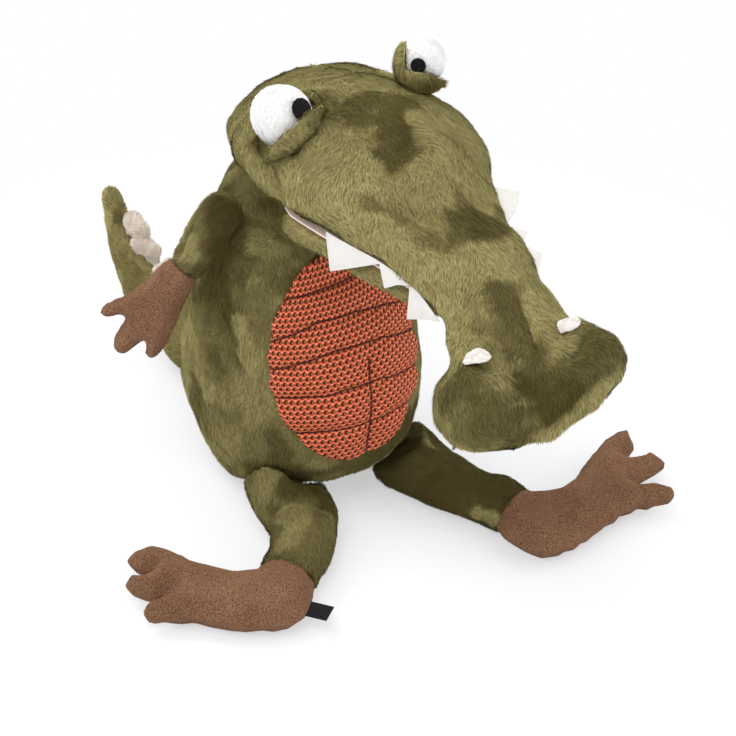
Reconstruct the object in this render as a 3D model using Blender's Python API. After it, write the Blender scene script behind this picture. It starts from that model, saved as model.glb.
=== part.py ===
"""Plush crocodile, sitting: sewn shells, their filling, felt and suede trim.

The toy faces -Y, its left side is +X, and it sits on the plane z = 0.
The origin is the middle of its seat.
"""
import bpy
import bmesh
from math import ceil, cos, hypot, pi, radians, sin, sqrt
from mathutils import Matrix, Vector
from mathutils.geometry import delaunay_2d_cdt

mm = 0.001

# Cloth and clearances
seat_gap = 0.3 * mm
pile_wall = 5.0 * mm
felt_thickness = 1.2 * mm
felt_gap = 0.4 * mm
slit_radius = 3.6 * mm
stuffing_gap = 0.5 * mm
neck_gap = 0.45 * mm
floor_flat = 0.5 * mm
merge_distance = 0.02 * mm
flat_limit = 0.01 * mm
sharp_angle = radians(50)
flat_angle = radians(0.1)

# Slits that lead into the hollow pieces
slit_sides = 8
slit_rings = 6
back_slit_length_share = 3.0
back_slit_width_share = 0.5

# Body
body_height = 200 * mm
body_half_width = 64 * mm
body_front = 82 * mm
body_back = 96 * mm
neck_radius = 38 * mm
neck_lean = 8 * mm
body_top_share = 0.975
body_ring_bias = 1.35
body_sides = 26
body_rings = 13
neck_rings = 5
neck_socket_rings = 16
filling_sides = 14
filling_rings = 8

# height, half width, front and back as shares of the body's sizes, and lean
body_shares = (
    (0.00, 0.60, 0.23, 0.58, 0.0),
    (0.02, 0.77, 0.33, 0.72, 0.0),
    (0.07, 0.90, 0.54, 0.85, 0.0),
    (0.17, 0.985, 0.86, 0.97, 0.0),
    (0.30, 1.00, 0.98, 1.00, 0.0),
    (0.45, 1.00, 1.00, 0.95, 0.05),
    (0.60, 0.96, 0.91, 0.84, 0.20),
    (0.75, 0.88, 0.73, 0.71, 0.50),
    (0.90, 0.77, 0.52, 0.60, 0.85),
    (1.00, 0.67, 0.442, 0.49, 1.0),
)

# Belly panel, laid over the body's front
panel_half_width_share = 0.75
panel_turn = radians(-3.5)
panel_low_share = 0.26
panel_high_share = 0.88
panel_lift = 0.8 * mm
panel_columns = 14
panel_rows = 18
panel_thickness = 1.6 * mm

# Head and snout
head_back = 14 * mm
head_length = 281 * mm
head_half_width = 62 * mm
head_depth = 60 * mm
lip_height = 228 * mm
head_sides = 24
head_rings = 20
crown_boxiness = 1.7
chin_boxiness = 2.4
ring_ease_share = 0.45
ring_round_share = 0.35
middle_margin_share = 0.2

# place along the head, half width, and top, middle and bottom over the lip
head_shares = (
    (0.000, 0.08, 0.20, 0.13, 0.06),
    (0.012, 0.32, 0.36, 0.15, -0.03),
    (0.036, 0.58, 0.52, 0.20, -0.14),
    (0.093, 0.81, 0.67, 0.23, -0.20),
    (0.174, 0.95, 0.80, 0.27, -0.14),
    (0.263, 1.00, 0.84, 0.26, 0.00),
    (0.352, 0.99, 0.85, 0.26, 0.07),
    (0.441, 0.92, 0.79, 0.25, 0.08),
    (0.530, 0.82, 0.65, 0.22, 0.07),
    (0.619, 0.68, 0.49, 0.19, 0.05),
    (0.698, 0.54, 0.35, 0.10, -0.06),
    (0.762, 0.47, 0.22, -0.05, -0.28),
    (0.804, 0.48, 0.12, -0.17, -0.50),
    (0.854, 0.64, -0.03, -0.36, -0.80),
    (0.904, 0.74, -0.15, -0.48, -0.93),
    (0.954, 0.70, -0.27, -0.55, -0.90),
    (0.985, 0.56, -0.38, -0.58, -0.82),
    (1.000, 0.34, -0.50, -0.60, -0.72),
)

# Nose lobes
# right then left: the left one is smaller and higher
lobe_radii = (24.5 * mm, 22 * mm)
lobe_spreads = (27.5 * mm, 29 * mm)
lobe_forward = 240 * mm
lobe_heights = (194 * mm, 200 * mm)
lobe_sides = 14
lobe_rings = 8

# Nostrils
nostril_radius = 5.5 * mm
nostril_thickness = 2.0 * mm
nostril_spreads = (27 * mm, 23.5 * mm)
nostril_forward = 235 * mm
nostril_sides = 14

# Eyes, right then left: the left one is the smaller
eye_radii = (16.5 * mm, 13.0 * mm)
pupil_radii = (5.7 * mm, 3.9 * mm)
eye_spread = 43 * mm
eye_forwards = (66 * mm, 62 * mm)
eye_heights = (273 * mm, 283 * mm)
eye_looks = ((0.216, -0.82, 0.53), (-0.63, -0.74, 0.22))
eyelid_thickness = 2.5 * mm
eye_sides = 16
eye_rings = 10
pupil_sides = 12
lid_facings = ((0.397, -0.687, -0.605), (-0.5, -0.35, -0.79))
lid_distance_shares = (0.40, 0.62)
cup_facing = (0.875, 0.485, 0)
cup_distance_share = 0.88

# Lower jaw
jaw_pivot_forward = 76 * mm
jaw_root_radius = 7.5 * mm
jaw_tip_forward = 192 * mm
jaw_thickness = 14 * mm
jaw_width_share = 0.885
jaw_root_width_share = 0.97
jaw_ease_forward = 118 * mm
jaw_corner_radius = 30 * mm
jaw_sides = 20
jaw_rings = 11
jaw_boxiness = 3.0
jaw_swell_share = 3.0
jaw_taper_share = 0.72
jaw_blunt_share = 0.003
jaw_tip_width_share = 0.35
jaw_tip_depth_share = 0.25

# Mouth linings
lining_rings = 12
lining_end_share = 0.7
lining_inset_share = 0.06

# Teeth
tooth_line_share = 0.93
# how far the right and the left strip splay, and their size
tooth_splays = (radians(6), radians(74))
tooth_size_shares = (1.0, 0.75)
tooth_root_share = 0.10
# corners and points of the teeth: place along the head, and height over the lip
tooth_edge_shares = (
    (0.500, 0.12), (0.518, -0.185), (0.576, -0.03), (0.6245, 0.10),
    (0.640, -0.10), (0.665, -0.02), (0.690, 0.02),
    (0.692, -0.29), (0.731, -0.21), (0.769, -0.15),
)

# Arms and hands
shoulder_spread = 52 * mm
shoulder_forward = 9 * mm
shoulder_height = 191 * mm
wrist_spread = 76 * mm
wrist_forward = 7 * mm
wrist_height = 160 * mm
arm_root_radius = 12.5 * mm
arm_wrist_width = 9.6 * mm
arm_wrist_depth = 6.5 * mm
arm_sides = 12
arm_steps = 5
arm_shares = (0.0, 0.35, 0.7, 1.0)
hand_length = 68 * mm
hand_half_width = 20 * mm
hand_thickness = 13 * mm
hand_rim = 7 * mm
hand_reach = (-0.52, 0.24, -0.82)
hand_facing = (-0.687, -0.688, 0.234)

# along and across the hand, from one wrist corner round to the other
hand_shares = (
    (0.00, -0.47), (0.12, -0.58), (0.28, -0.70), (0.45, -0.80), (0.58, -1.00),
    (0.71, -1.22), (0.79, -1.17), (0.80, -0.94), (0.73, -0.73), (0.70, -0.55),
    (0.80, -0.52), (0.92, -0.45), (1.00, -0.22), (0.98, 0.06), (0.88, 0.16),
    (0.76, 0.27), (0.75, 0.36), (0.83, 0.52), (0.84, 0.72), (0.77, 0.85),
    (0.62, 0.85), (0.48, 0.77), (0.32, 0.68), (0.14, 0.55), (0.00, 0.47),
)

# Legs and feet, right then left
hip_spread = 35 * mm
hip_forward = 38 * mm
leg_width = 22 * mm
leg_height = 22 * mm
ankle_width = 17.5 * mm
ankle_height = 12.5 * mm
ankle_places = ((68 * mm, 111 * mm), (73 * mm, 122 * mm))
foot_headings = (radians(131), radians(23.5))
ankle_run = 12 * mm
leg_sides = 14
leg_steps = 8
ankle_bend_share = 0.9
# place from hip to ankle, outward bow and radius of the leg
leg_shares = (
    (0.00, 0.00, 1.00),
    (0.28, 0.05, 1.08),
    (0.55, 0.12, 1.08),
    (0.76, 0.09, 0.95),
)
leg_bows = (60 * mm, 25 * mm)
foot_lengths = (103 * mm, 117 * mm)
# how far the toes of the right and the left foot spread, from where and about which line
foot_spread_shares = (0.0, 0.4)
toe_root_share = 0.4
toe_middle_share = 0.35
foot_width = 50 * mm
foot_thickness = 24 * mm
foot_rim = 15 * mm
ankle_along_share = 0.12
ankle_across_share = 0.94

# along and across the foot, from one ankle corner round to the other
foot_shares = (
    (-0.03, 0.94), (-0.07, 0.70), (-0.09, 0.44), (-0.05, 0.22), (0.06, 0.06),
    (0.25, -0.04), (0.42, -0.08), (0.56, -0.15), (0.67, -0.26), (0.725, -0.23),
    (0.735, -0.11), (0.66, 0.04), (0.65, 0.12), (0.76, 0.10), (0.88, 0.09),
    (0.93, 0.18), (0.90, 0.30), (0.82, 0.37), (0.81, 0.44), (0.92, 0.46),
    (1.00, 0.56), (0.98, 0.70), (0.88, 0.81), (0.72, 0.82), (0.56, 0.75),
    (0.42, 0.74), (0.33, 0.80), (0.28, 0.94),
)
pillow_step = 6.5 * mm
hand_step = 4.5 * mm
pillow_spacing_share = 0.62

# Rounded ends and hollows of the limbs and the tail
end_lifts = (radians(80), radians(55), radians(30))
filling_start_share = 0.42
filling_end_share = 0.90
fewer_sides = 4

# Label tab at the right heel
label_length = 15 * mm
label_width = 12 * mm
label_thickness = 0.8 * mm
label_across_share = 0.52
label_along_share = -0.0935

# Tail
tail_root_radius = 23 * mm
tail_tip_radius = 6 * mm
tail_reach = 174 * mm
tail_swing = 24 * mm
tail_rise = 66 * mm
tail_start = 60 * mm
tail_sides = 14
tail_steps = 10
tail_filling_steps = 6
tail_up = (0, -0.3, 1)
tail_filling_shares = (0.32, 0.5, 0.7, 0.9)
tail_look_share = 0.02
# along, sideways, rise and radius from root to tip
tail_shares = (
    (0.00, 0.00, 0.00, 1.00),
    (0.15, 0.30, 0.00, 0.96),
    (0.34, 0.80, 0.09, 0.74),
    (0.54, 1.16, 0.30, 0.52),
    (0.77, 1.22, 0.62, 0.28),
    (1.00, 0.92, 1.00, 0.00),
)
spike_shares = (0.28, 0.42, 0.56, 0.69, 0.82)
spike_length = 21 * mm
spike_width = 9 * mm
spike_height = 16 * mm
spike_lean = radians(35)
spike_sides = 8
spike_sink_share = 0.33
# rise and size of a spike's sections
spike_shape_shares = ((0.0, 1.0), (0.55, 0.92), (0.85, 0.62), (1.1, 0.22))

# How far each moving piece turns, and in how many steps its root is cut clear
hip_range = (radians(-75), radians(15))
shoulder_range = (radians(-35), radians(90))
tail_range = (radians(-30), radians(30))
hip_cuts = 6
shoulder_cuts = 8
tail_cuts = 2

olive = (0.150, 0.133, 0.045, 1.0)
coral = (0.640, 0.110, 0.052, 1.0)
suede = (0.185, 0.098, 0.062, 1.0)
white_felt = (0.80, 0.79, 0.76, 1.0)
white_pile = (0.88, 0.88, 0.87, 1.0)
cream = (0.62, 0.55, 0.46, 1.0)
blush = (0.78, 0.62, 0.58, 1.0)
black = (0.012, 0.012, 0.013, 1.0)
filling = (0.83, 0.83, 0.81, 1.0)


def clear_scene():
    for item in list(bpy.data.objects):
        bpy.data.objects.remove(item)


def cloth(name, colour, roughness):
    found = bpy.data.materials.get(name)
    if found:
        return found
    material = bpy.data.materials.new(name)
    material.use_nodes = True
    shader = material.node_tree.nodes["Principled BSDF"]
    shader.inputs["Base Color"].default_value = colour
    shader.inputs["Roughness"].default_value = roughness
    shader.inputs["Metallic"].default_value = 0.0
    return material


def curve_at(rows, place):
    """Values at a place on a smooth curve through rows, whose first column is the place."""
    last = len(rows) - 1
    place = min(max(place, rows[0][0]), rows[last][0])
    k = 0
    while k < last - 1 and place > rows[k + 1][0]:
        k += 1

    def slope(i, c):
        low, high = max(i - 1, 0), min(i + 1, last)
        return (rows[high][c] - rows[low][c]) / (rows[high][0] - rows[low][0])

    span = rows[k + 1][0] - rows[k][0]
    t = (place - rows[k][0]) / span
    values = []
    for c in range(1, len(rows[0])):
        a, b = rows[k][c], rows[k + 1][c]
        values.append(
            (2 * t**3 - 3 * t**2 + 1) * a + (t**3 - 2 * t**2 + t) * span * slope(k, c)
            + (3 * t**2 - 2 * t**3) * b + (t**3 - t**2) * span * slope(k + 1, c)
        )
    return values


def power(value, exponent):
    return abs(value) ** exponent * (1 if value >= 0 else -1)


def solid(name, verts, faces, material=None):
    """A closed body from points and faces, with its faces turned outwards."""
    mesh = bpy.data.meshes.new(name)
    mesh.from_pydata([tuple(v) for v in verts], [], faces)
    shape = bmesh.new()
    shape.from_mesh(mesh)
    bmesh.ops.recalc_face_normals(shape, faces=shape.faces)
    bmesh.ops.triangulate(shape, faces=shape.faces)
    shape.to_mesh(mesh)
    shape.free()
    item = bpy.data.objects.new(name, mesh)
    bpy.context.scene.collection.objects.link(item)
    if material:
        mesh.materials.append(material)
    return item


def loft(name, rings, material=None):
    """A closed body through rings of equal length, capped by a fan at each end."""
    count = len(rings[0])
    verts = [point for ring in rings for point in ring]
    faces = []
    for r in range(len(rings) - 1):
        for s in range(count):
            a, b = r * count + s, r * count + (s + 1) % count
            faces.append((a, b, b + count, a + count))
    for ring_index in (0, len(rings) - 1):
        ring = rings[ring_index]
        middle = sum((Vector(p) for p in ring), Vector()) / count
        verts.append(middle)
        for s in range(count):
            a, b = ring_index * count + s, ring_index * count + (s + 1) % count
            faces.append((a, b, len(verts) - 1))
    return solid(name, verts, faces, material)


def ball(name, centre, radius, sides, rings, material=None):
    """A sphere with its poles on the vertical."""
    layers = []
    for r in range(1, rings):
        lift = pi * r / rings - pi / 2
        layers.append([
            Vector(centre) + radius * Vector((cos(lift) * cos(2 * pi * s / sides),
                                              cos(lift) * sin(2 * pi * s / sides), sin(lift)))
            for s in range(sides)
        ])
    item = loft(name, layers, material)
    poles = item.data.vertices[-2:]
    poles[0].co = Vector(centre) - Vector((0, 0, radius))
    poles[1].co = Vector(centre) + Vector((0, 0, radius))
    return item


def combine(item, tool, operation):
    """Cut, join or keep the common part with a tool, which is then removed."""
    step = item.modifiers.new("step", "BOOLEAN")
    step.operation = operation
    step.solver = "EXACT"
    step.object = tool
    bpy.context.view_layer.update()
    seen = item.evaluated_get(bpy.context.evaluated_depsgraph_get())
    mesh = bpy.data.meshes.new_from_object(seen)
    item.modifiers.remove(step)
    shape = bmesh.new()
    shape.from_mesh(mesh)
    bmesh.ops.remove_doubles(shape, verts=shape.verts, dist=merge_distance)
    bmesh.ops.dissolve_degenerate(shape, edges=shape.edges, dist=merge_distance)
    bmesh.ops.triangulate(shape, faces=shape.faces)
    shape.to_mesh(mesh)
    shape.free()
    item.data = mesh
    bpy.data.objects.remove(tool)


def filling_of(hollow, name):
    """A body that fills a hollow, a small gap inside its walls."""
    core = bpy.data.objects.new(name, hollow.data.copy())
    bpy.context.scene.collection.objects.link(core)
    shape = bmesh.new()
    shape.from_mesh(core.data)
    shape.normal_update()
    moves = [v.normal * stuffing_gap for v in shape.verts]
    for v, move in zip(shape.verts, moves):
        v.co -= move
    shape.to_mesh(core.data)
    shape.free()
    core.data.materials.clear()
    core.data.materials.append(cloth("filling", filling, 1.0))
    return core


def turned(item, pivot, axis, angle):
    spin = Matrix.Translation(pivot) @ Matrix.Rotation(angle, 4, Vector(axis))
    item.data.transform(spin @ Matrix.Translation(-Vector(pivot)))
    return item


def finish(item, parent):
    """Shade the piece smooth and hang it on the empty at its joint."""
    item.data.shade_smooth()
    item.data.set_sharp_from_angle(angle=sharp_angle)
    at = parent.matrix_world.translation
    item.data.transform(Matrix.Translation(-at))
    item.parent = parent
    return item


def pivot_empty(name, place, parent=None):
    item = bpy.data.objects.new(name, None)
    item.empty_display_size = body_half_width / 4
    bpy.context.scene.collection.objects.link(item)
    item.parent = parent
    item.location = Vector(place) - (parent.matrix_world.translation if parent else Vector())
    bpy.context.view_layer.update()
    return item


# Body

def neck_centre():
    return Vector((0, -neck_lean, body_height))


def body_point(share, turn, grow):
    """A point of the body at a share of its height, turned from +X."""
    width, front, back, lean = curve_at(body_shares, share)
    deep = (front * body_front if sin(turn) < 0 else back * body_back) + grow
    y = deep * sin(turn) - lean * neck_lean
    return Vector(((width * body_half_width + grow) * cos(turn), y, share * body_height))


def body_rings_of(sides, rings, grow, start):
    low = start / body_height
    layers = []
    for r in range(rings):
        share = low + (body_top_share - low) * (r / (rings - 1)) ** body_ring_bias
        layers.append([body_point(share, 2 * pi * s / sides, grow) for s in range(sides)])
    radius = neck_radius + grow
    for r in range(neck_rings):
        lift = pi / 2 * r / neck_rings
        layers.append([
            neck_centre() + radius * Vector((cos(lift) * cos(2 * pi * s / sides),
                                             cos(lift) * sin(2 * pi * s / sides), sin(lift)))
            for s in range(sides)
        ])
    return layers


def body_form(name, grow, sides, rings, start=0, material=None):
    item = loft(name, body_rings_of(sides, rings, grow, start), material)
    item.data.vertices[-1].co = neck_centre() + Vector((0, 0, neck_radius + grow))
    return item


def make_body(root):
    pile = cloth("olive_pile", olive, 0.95)
    skin = body_form("body_skin", 0, body_sides, body_rings, material=pile)
    hollow = body_form("hollow", -pile_wall, filling_sides, filling_rings, pile_wall)
    core = filling_of(hollow, "body_stuffing")
    combine(skin, hollow, "DIFFERENCE")
    slit_height = body_height / 2
    back = body_point(slit_height / body_height, pi / 2, 0).y
    slit = ball("slit", (0, back - pile_wall / 2, slit_height), slit_radius * back_slit_length_share,
                slit_sides, slit_rings)
    for v in slit.data.vertices:
        v.co.x = v.co.x / back_slit_length_share * back_slit_width_share
    combine(skin, slit, "DIFFERENCE")
    finish(skin, root)
    finish(core, root)


def make_belly_panel(root):
    """An oval of knit that follows the body's front, a little proud of it."""
    mid = (panel_low_share + panel_high_share) / 2
    half = (panel_high_share - panel_low_share) / 2
    verts, index = [], {}
    for layer, lift in enumerate((panel_lift, panel_lift + panel_thickness)):
        for r in range(panel_rows + 1):
            up = cos(pi * r / panel_rows)
            reach = sqrt(max(1 - up * up, 0)) * panel_half_width_share
            columns = panel_columns if 0 < r < panel_rows else 0
            for c in range(columns + 1):
                side = (2 * c / columns - 1) if columns else 0
                turn = panel_turn - pi / 2 + reach * side
                index[layer, r, c] = len(verts)
                verts.append(body_point(mid + half * up, turn, lift))
    faces = []
    for layer in (0, 1):
        for r in range(panel_rows):
            for c in range(panel_columns):
                if r == 0:
                    faces.append([index[layer, 0, 0], index[layer, 1, c], index[layer, 1, c + 1]])
                elif r == panel_rows - 1:
                    faces.append([index[layer, r, c], index[layer, r, c + 1],
                                  index[layer, panel_rows, 0]])
                else:
                    faces.append([index[layer, r, c], index[layer, r, c + 1],
                                  index[layer, r + 1, c + 1], index[layer, r + 1, c]])
    rim = [(0, 0)] + [(r, 0) for r in range(1, panel_rows)] + [(panel_rows, 0)]
    rim += [(r, panel_columns) for r in range(panel_rows - 1, 0, -1)]
    for k, (r, c) in enumerate(rim):
        r2, c2 = rim[(k + 1) % len(rim)]
        faces.append([index[0, r, c], index[0, r2, c2], index[1, r2, c2], index[1, r, c]])
    panel = solid("belly_panel", verts, faces, cloth("coral_mesh", coral, 0.9))
    finish(panel, root)


# Head

def head_at(share):
    """Half width, top, middle and bottom of the head, in metres."""
    width, top, middle, bottom = curve_at(head_shares, share)
    levels = [lip_height + head_depth * v for v in (top, middle, bottom)]
    return [width * head_half_width] + levels


def head_forward(share):
    return -(share * head_length - head_back)


def share_at(forward):
    """Share of the head's length at a distance forward of the origin."""
    return (forward + head_back) / head_length


def head_form(name, grow, sides, rings, material=None):
    """Head and snout with nose lobes, grown or shrunk all round, with its sockets."""
    layers = []
    for r in range(rings + 1):
        place = r / rings
        place = place + ring_ease_share * sin(2 * pi * place) / (2 * pi)
        rounded = (1 - cos(pi * place)) / 2
        share = min(max(rounded * ring_round_share + place * (1 - ring_round_share), 0), 1)
        width, top, middle, bottom = head_at(share)
        width, top, bottom = width + grow, top + grow, bottom - grow
        width = max(width, felt_thickness)
        if top - bottom < 2 * felt_thickness:
            top, bottom = middle + felt_thickness, middle - felt_thickness
        margin = (top - bottom) * middle_margin_share
        middle = min(max(middle, bottom + margin), top - margin)
        y = head_forward(share) - grow * (2 * share - 1)
        ring = []
        for s in range(sides):
            turn = 2 * pi * s / sides
            upper = sin(turn) > 0
            bend = 2 / (crown_boxiness if upper else chin_boxiness)
            tall = top - middle if upper else middle - bottom
            ring.append(Vector((width * power(cos(turn), bend), y,
                                middle + tall * power(sin(turn), bend))))
        layers.append(ring)
    item = loft(name, layers, material)
    for k, side in enumerate((-1, 1)):
        lobe = ball("lobe", (side * lobe_spreads[k], -lobe_forward, lobe_heights[k]),
                    lobe_radii[k] + grow, lobe_sides, lobe_rings)
        combine(item, lobe, "UNION")
    socket = ball("socket", neck_centre(), neck_radius + neck_gap - grow,
                  body_sides, neck_socket_rings)
    combine(item, socket, "DIFFERENCE")
    for k, side in enumerate((-1, 1)):
        seat = cup_outer(k) + seat_gap - grow
        socket = ball("socket", eye_centre(k), seat, eye_sides, eye_rings)
        combine(item, socket, "DIFFERENCE")
    return item


def make_head(head):
    pile = cloth("olive_pile", olive, 0.95)
    skin = head_form("head_skin", 0, head_sides, head_rings, pile)
    hollow = head_form("hollow", -pile_wall, filling_sides, filling_rings * 2)
    core = filling_of(hollow, "head_stuffing")
    combine(skin, hollow, "DIFFERENCE")
    top = neck_centre() + Vector((0, 0, neck_radius + pile_wall / 2))
    combine(skin, ball("slit", top, slit_radius + pile_wall / 2, slit_sides, slit_rings), "DIFFERENCE")
    finish(skin, head)
    finish(core, head)


# Eyes

def eye_side(k):
    return (-1, 1)[k]


def eye_centre(k):
    return Vector((eye_side(k) * eye_spread, -eye_forwards[k], eye_heights[k]))


def cup_inner(k):
    return eye_radii[k] + felt_thickness + 3 * seat_gap


def cup_outer(k):
    return cup_inner(k) + eyelid_thickness


def cap_disc(name, centre, look, radius, size, thickness, material):
    """A round patch bent over a ball, of one thickness."""
    look = Vector(look).normalized()
    side = look.cross(Vector((0, 0, 1))).normalized()
    up = side.cross(look)
    layers = []
    steps = ((0.5, 0), (1.0, 0), (1.0, 1), (0.5, 1))
    for reach, layer in steps:
        r = radius + seat_gap + layer * thickness
        lean = reach * size / radius
        layers.append([
            Vector(centre) + r * (cos(lean) * look + sin(lean) * (cos(2 * pi * s / pupil_sides) * side
                                                                  + sin(2 * pi * s / pupil_sides) * up))
            for s in range(pupil_sides)
        ])
    item = loft(name, layers, material)
    item.data.vertices[-2].co = Vector(centre) + (radius + seat_gap) * look
    item.data.vertices[-1].co = Vector(centre) + (radius + seat_gap + thickness) * look
    return item


def make_eyes(head):
    pile = cloth("white_pile", white_pile, 0.9)
    for k, word in enumerate(("right", "left")):
        eye = ball("eye_" + word, eye_centre(k), eye_radii[k], eye_sides, eye_rings, pile)
        finish(eye, head)
        pupil = cap_disc("pupil_" + word, eye_centre(k), eye_looks[k], eye_radii[k], pupil_radii[k],
                         felt_thickness, cloth("black_felt", black, 0.95))
        finish(pupil, head)
        cup = ball("eyelid_" + word, eye_centre(k), cup_outer(k), eye_sides, eye_rings,
                   cloth("olive_pile", olive, 0.95))
        combine(cup, ball("hollow", eye_centre(k), cup_inner(k), eye_sides, eye_rings), "DIFFERENCE")
        window = lid_window(k)
        combine(cup, window, "DIFFERENCE")
        finish(cup, head)


def lid_window(k):
    """The wedge of space that the eye looks out of, between its cup and its lower lid."""
    out = eye_side(k)
    inward = Vector((-cup_facing[0] * out, cup_facing[1], cup_facing[2])).normalized()
    lower = Vector(lid_facings[k]).normalized()
    edge = inward.cross(lower).normalized()
    far = cup_outer(k) * 3
    corner = eye_centre(k)
    reach_in = cup_distance_share * eye_radii[k]
    reach_low = lid_distance_shares[k] * eye_radii[k]
    overlap = inward.dot(lower)
    a = (reach_in - reach_low * overlap) / (1 - overlap**2)
    b = (reach_low - reach_in * overlap) / (1 - overlap**2)
    apex = corner + a * inward + b * lower
    along_lid = (-inward + overlap * lower).normalized()
    along_cup = (-lower + overlap * inward).normalized()
    base = [apex, apex + far * along_lid, apex + far * (along_lid + along_cup), apex + far * along_cup]
    rings = [[p + far * sign * edge for p in base] for sign in (-1, 1)]
    return loft("window", rings)


def make_nostrils(head):
    """Round patches laid on the snout."""
    skin = bpy.data.objects["head_skin"]
    origin = skin.matrix_world.translation
    for k, word in enumerate(("right", "left")):
        middle = (-1, 1)[k] * nostril_spreads[k]
        lower, upper = [], []
        for reach in (0.0, 0.5, 1.0):
            for s in range(nostril_sides if reach else 1):
                turn = 2 * pi * s / nostril_sides
                above = Vector((middle + nostril_radius * reach * cos(turn),
                                -nostril_forward + nostril_radius * reach * sin(turn), body_height * 2))
                found, at, normal, _ = skin.ray_cast(above - origin, Vector((0, 0, -1)))
                rise = nostril_thickness * (1 - reach**2 / 2)
                lower.append(at + origin + normal * 2 * seat_gap)
                upper.append(at + origin + normal * (2 * seat_gap + rise))
        faces = []
        count = nostril_sides
        for layer in (0, len(lower)):
            for s in range(count):
                t = (s + 1) % count
                faces.append((layer, layer + 1 + s, layer + 1 + t))
                faces.append((layer + 1 + s, layer + 1 + count + s, layer + 1 + count + t, layer + 1 + t))
        for s in range(count):
            a, b = 1 + count + s, 1 + count + (s + 1) % count
            faces.append((a, b, b + len(lower), a + len(lower)))
        patch = solid("nostril_" + word, lower + upper, faces, cloth("white_felt", white_felt, 0.95))
        finish(patch, head)


# Mouth

def palate_height(forward):
    return head_at(share_at(forward))[3]


def jaw_top(forward):
    """Upper face of the jaw, under the two linings."""
    return palate_height(forward) - 2 * felt_thickness - 4 * felt_gap


def lip_width(forward):
    return head_at(share_at(forward))[0] * tooth_line_share


def corner_inset(forward):
    """How far the jaw's rounded root draws in from its side."""
    start = jaw_pivot_forward - jaw_root_radius
    past = min((forward - start) / jaw_corner_radius, 1)
    return jaw_corner_radius * (1 - sqrt(max(past * (2 - past), 0)))


def jaw_pivot():
    return Vector((0, -jaw_pivot_forward, jaw_top(jaw_pivot_forward) - jaw_root_radius))


def make_jaw(jaw):
    start = jaw_pivot_forward - jaw_root_radius
    layers = []
    for r in range(jaw_rings + 1):
        share = (1 - cos(pi * r / jaw_rings)) / 2
        forward = start + (jaw_tip_forward - start) * share
        top = jaw_top(max(forward, jaw_pivot_forward))
        behind = max(jaw_pivot_forward - forward, 0)
        root = sqrt(max(jaw_root_radius**2 - behind**2, 0)) if behind else jaw_root_radius
        past = max(share - jaw_taper_share, 0) / (1 - jaw_taper_share)
        tip = sqrt(max(1 - past**2, jaw_blunt_share))
        narrowing = jaw_tip_width_share + (1 - jaw_tip_width_share) * tip
        near = (jaw_ease_forward - forward) / (jaw_ease_forward - jaw_pivot_forward)
        ease = sqrt(min(max(near, 0), 1))
        fit = jaw_width_share + (jaw_root_width_share - jaw_width_share) * ease
        width = head_at(share_at(forward))[0] * fit * narrowing - corner_inset(forward)
        if behind:
            high, low = jaw_pivot().z + root, jaw_pivot().z - root
        else:
            swell = min((forward - jaw_pivot_forward) / (jaw_swell_share * jaw_root_radius), 1)
            deep = 2 * jaw_root_radius + (jaw_thickness - 2 * jaw_root_radius) * swell
            high = top
            low = top - deep * (jaw_tip_depth_share + (1 - jaw_tip_depth_share) * tip)
        high = max(high, low + felt_thickness)
        ring = []
        for s in range(jaw_sides):
            turn = 2 * pi * s / jaw_sides
            x = width * power(cos(turn), 2 / jaw_boxiness)
            z = (high + low) / 2 + (high - low) / 2 * power(sin(turn), 2 / jaw_boxiness)
            ring.append(Vector((x, -forward, z)))
        layers.append(ring)
    item = loft("lower_jaw", layers, cloth("olive_pile", olive, 0.95))
    finish(item, jaw)


def sheet(name, start, end, height_of, width_of, material):
    """A thin sheet under the palate, from the mouth's corner to the front."""
    layers = []
    for r in range(lining_rings + 1):
        forward = start + (end - start) * r / lining_rings
        z = height_of(forward)
        w = width_of(forward)
        if r == lining_rings:
            w = w * lining_end_share
        layers.append([Vector((-w, -forward, z)), Vector((w, -forward, z)),
                       Vector((w, -forward, z - felt_thickness)),
                       Vector((-w, -forward, z - felt_thickness))])
    return loft(name, layers, material)


def make_linings(head, jaw):
    felt = cloth("blush_felt", blush, 0.95)
    inset = felt_thickness + felt_gap * 2
    front = jaw_tip_forward - jaw_root_radius
    upper = sheet("palate_lining", jaw_pivot_forward, front,
                  lambda f: palate_height(f) - felt_gap - seat_gap,
                  lambda f: lip_width(f) - inset - corner_inset(f), felt)
    finish(upper, head)
    lower = sheet("jaw_lining", jaw_pivot_forward + felt_thickness, front,
                  lambda f: palate_height(f) - 3 * felt_gap - felt_thickness,
                  lambda f: (head_at(share_at(f))[0] * (jaw_width_share - lining_inset_share)
                             - corner_inset(f)), felt)
    finish(lower, jaw)


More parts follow.
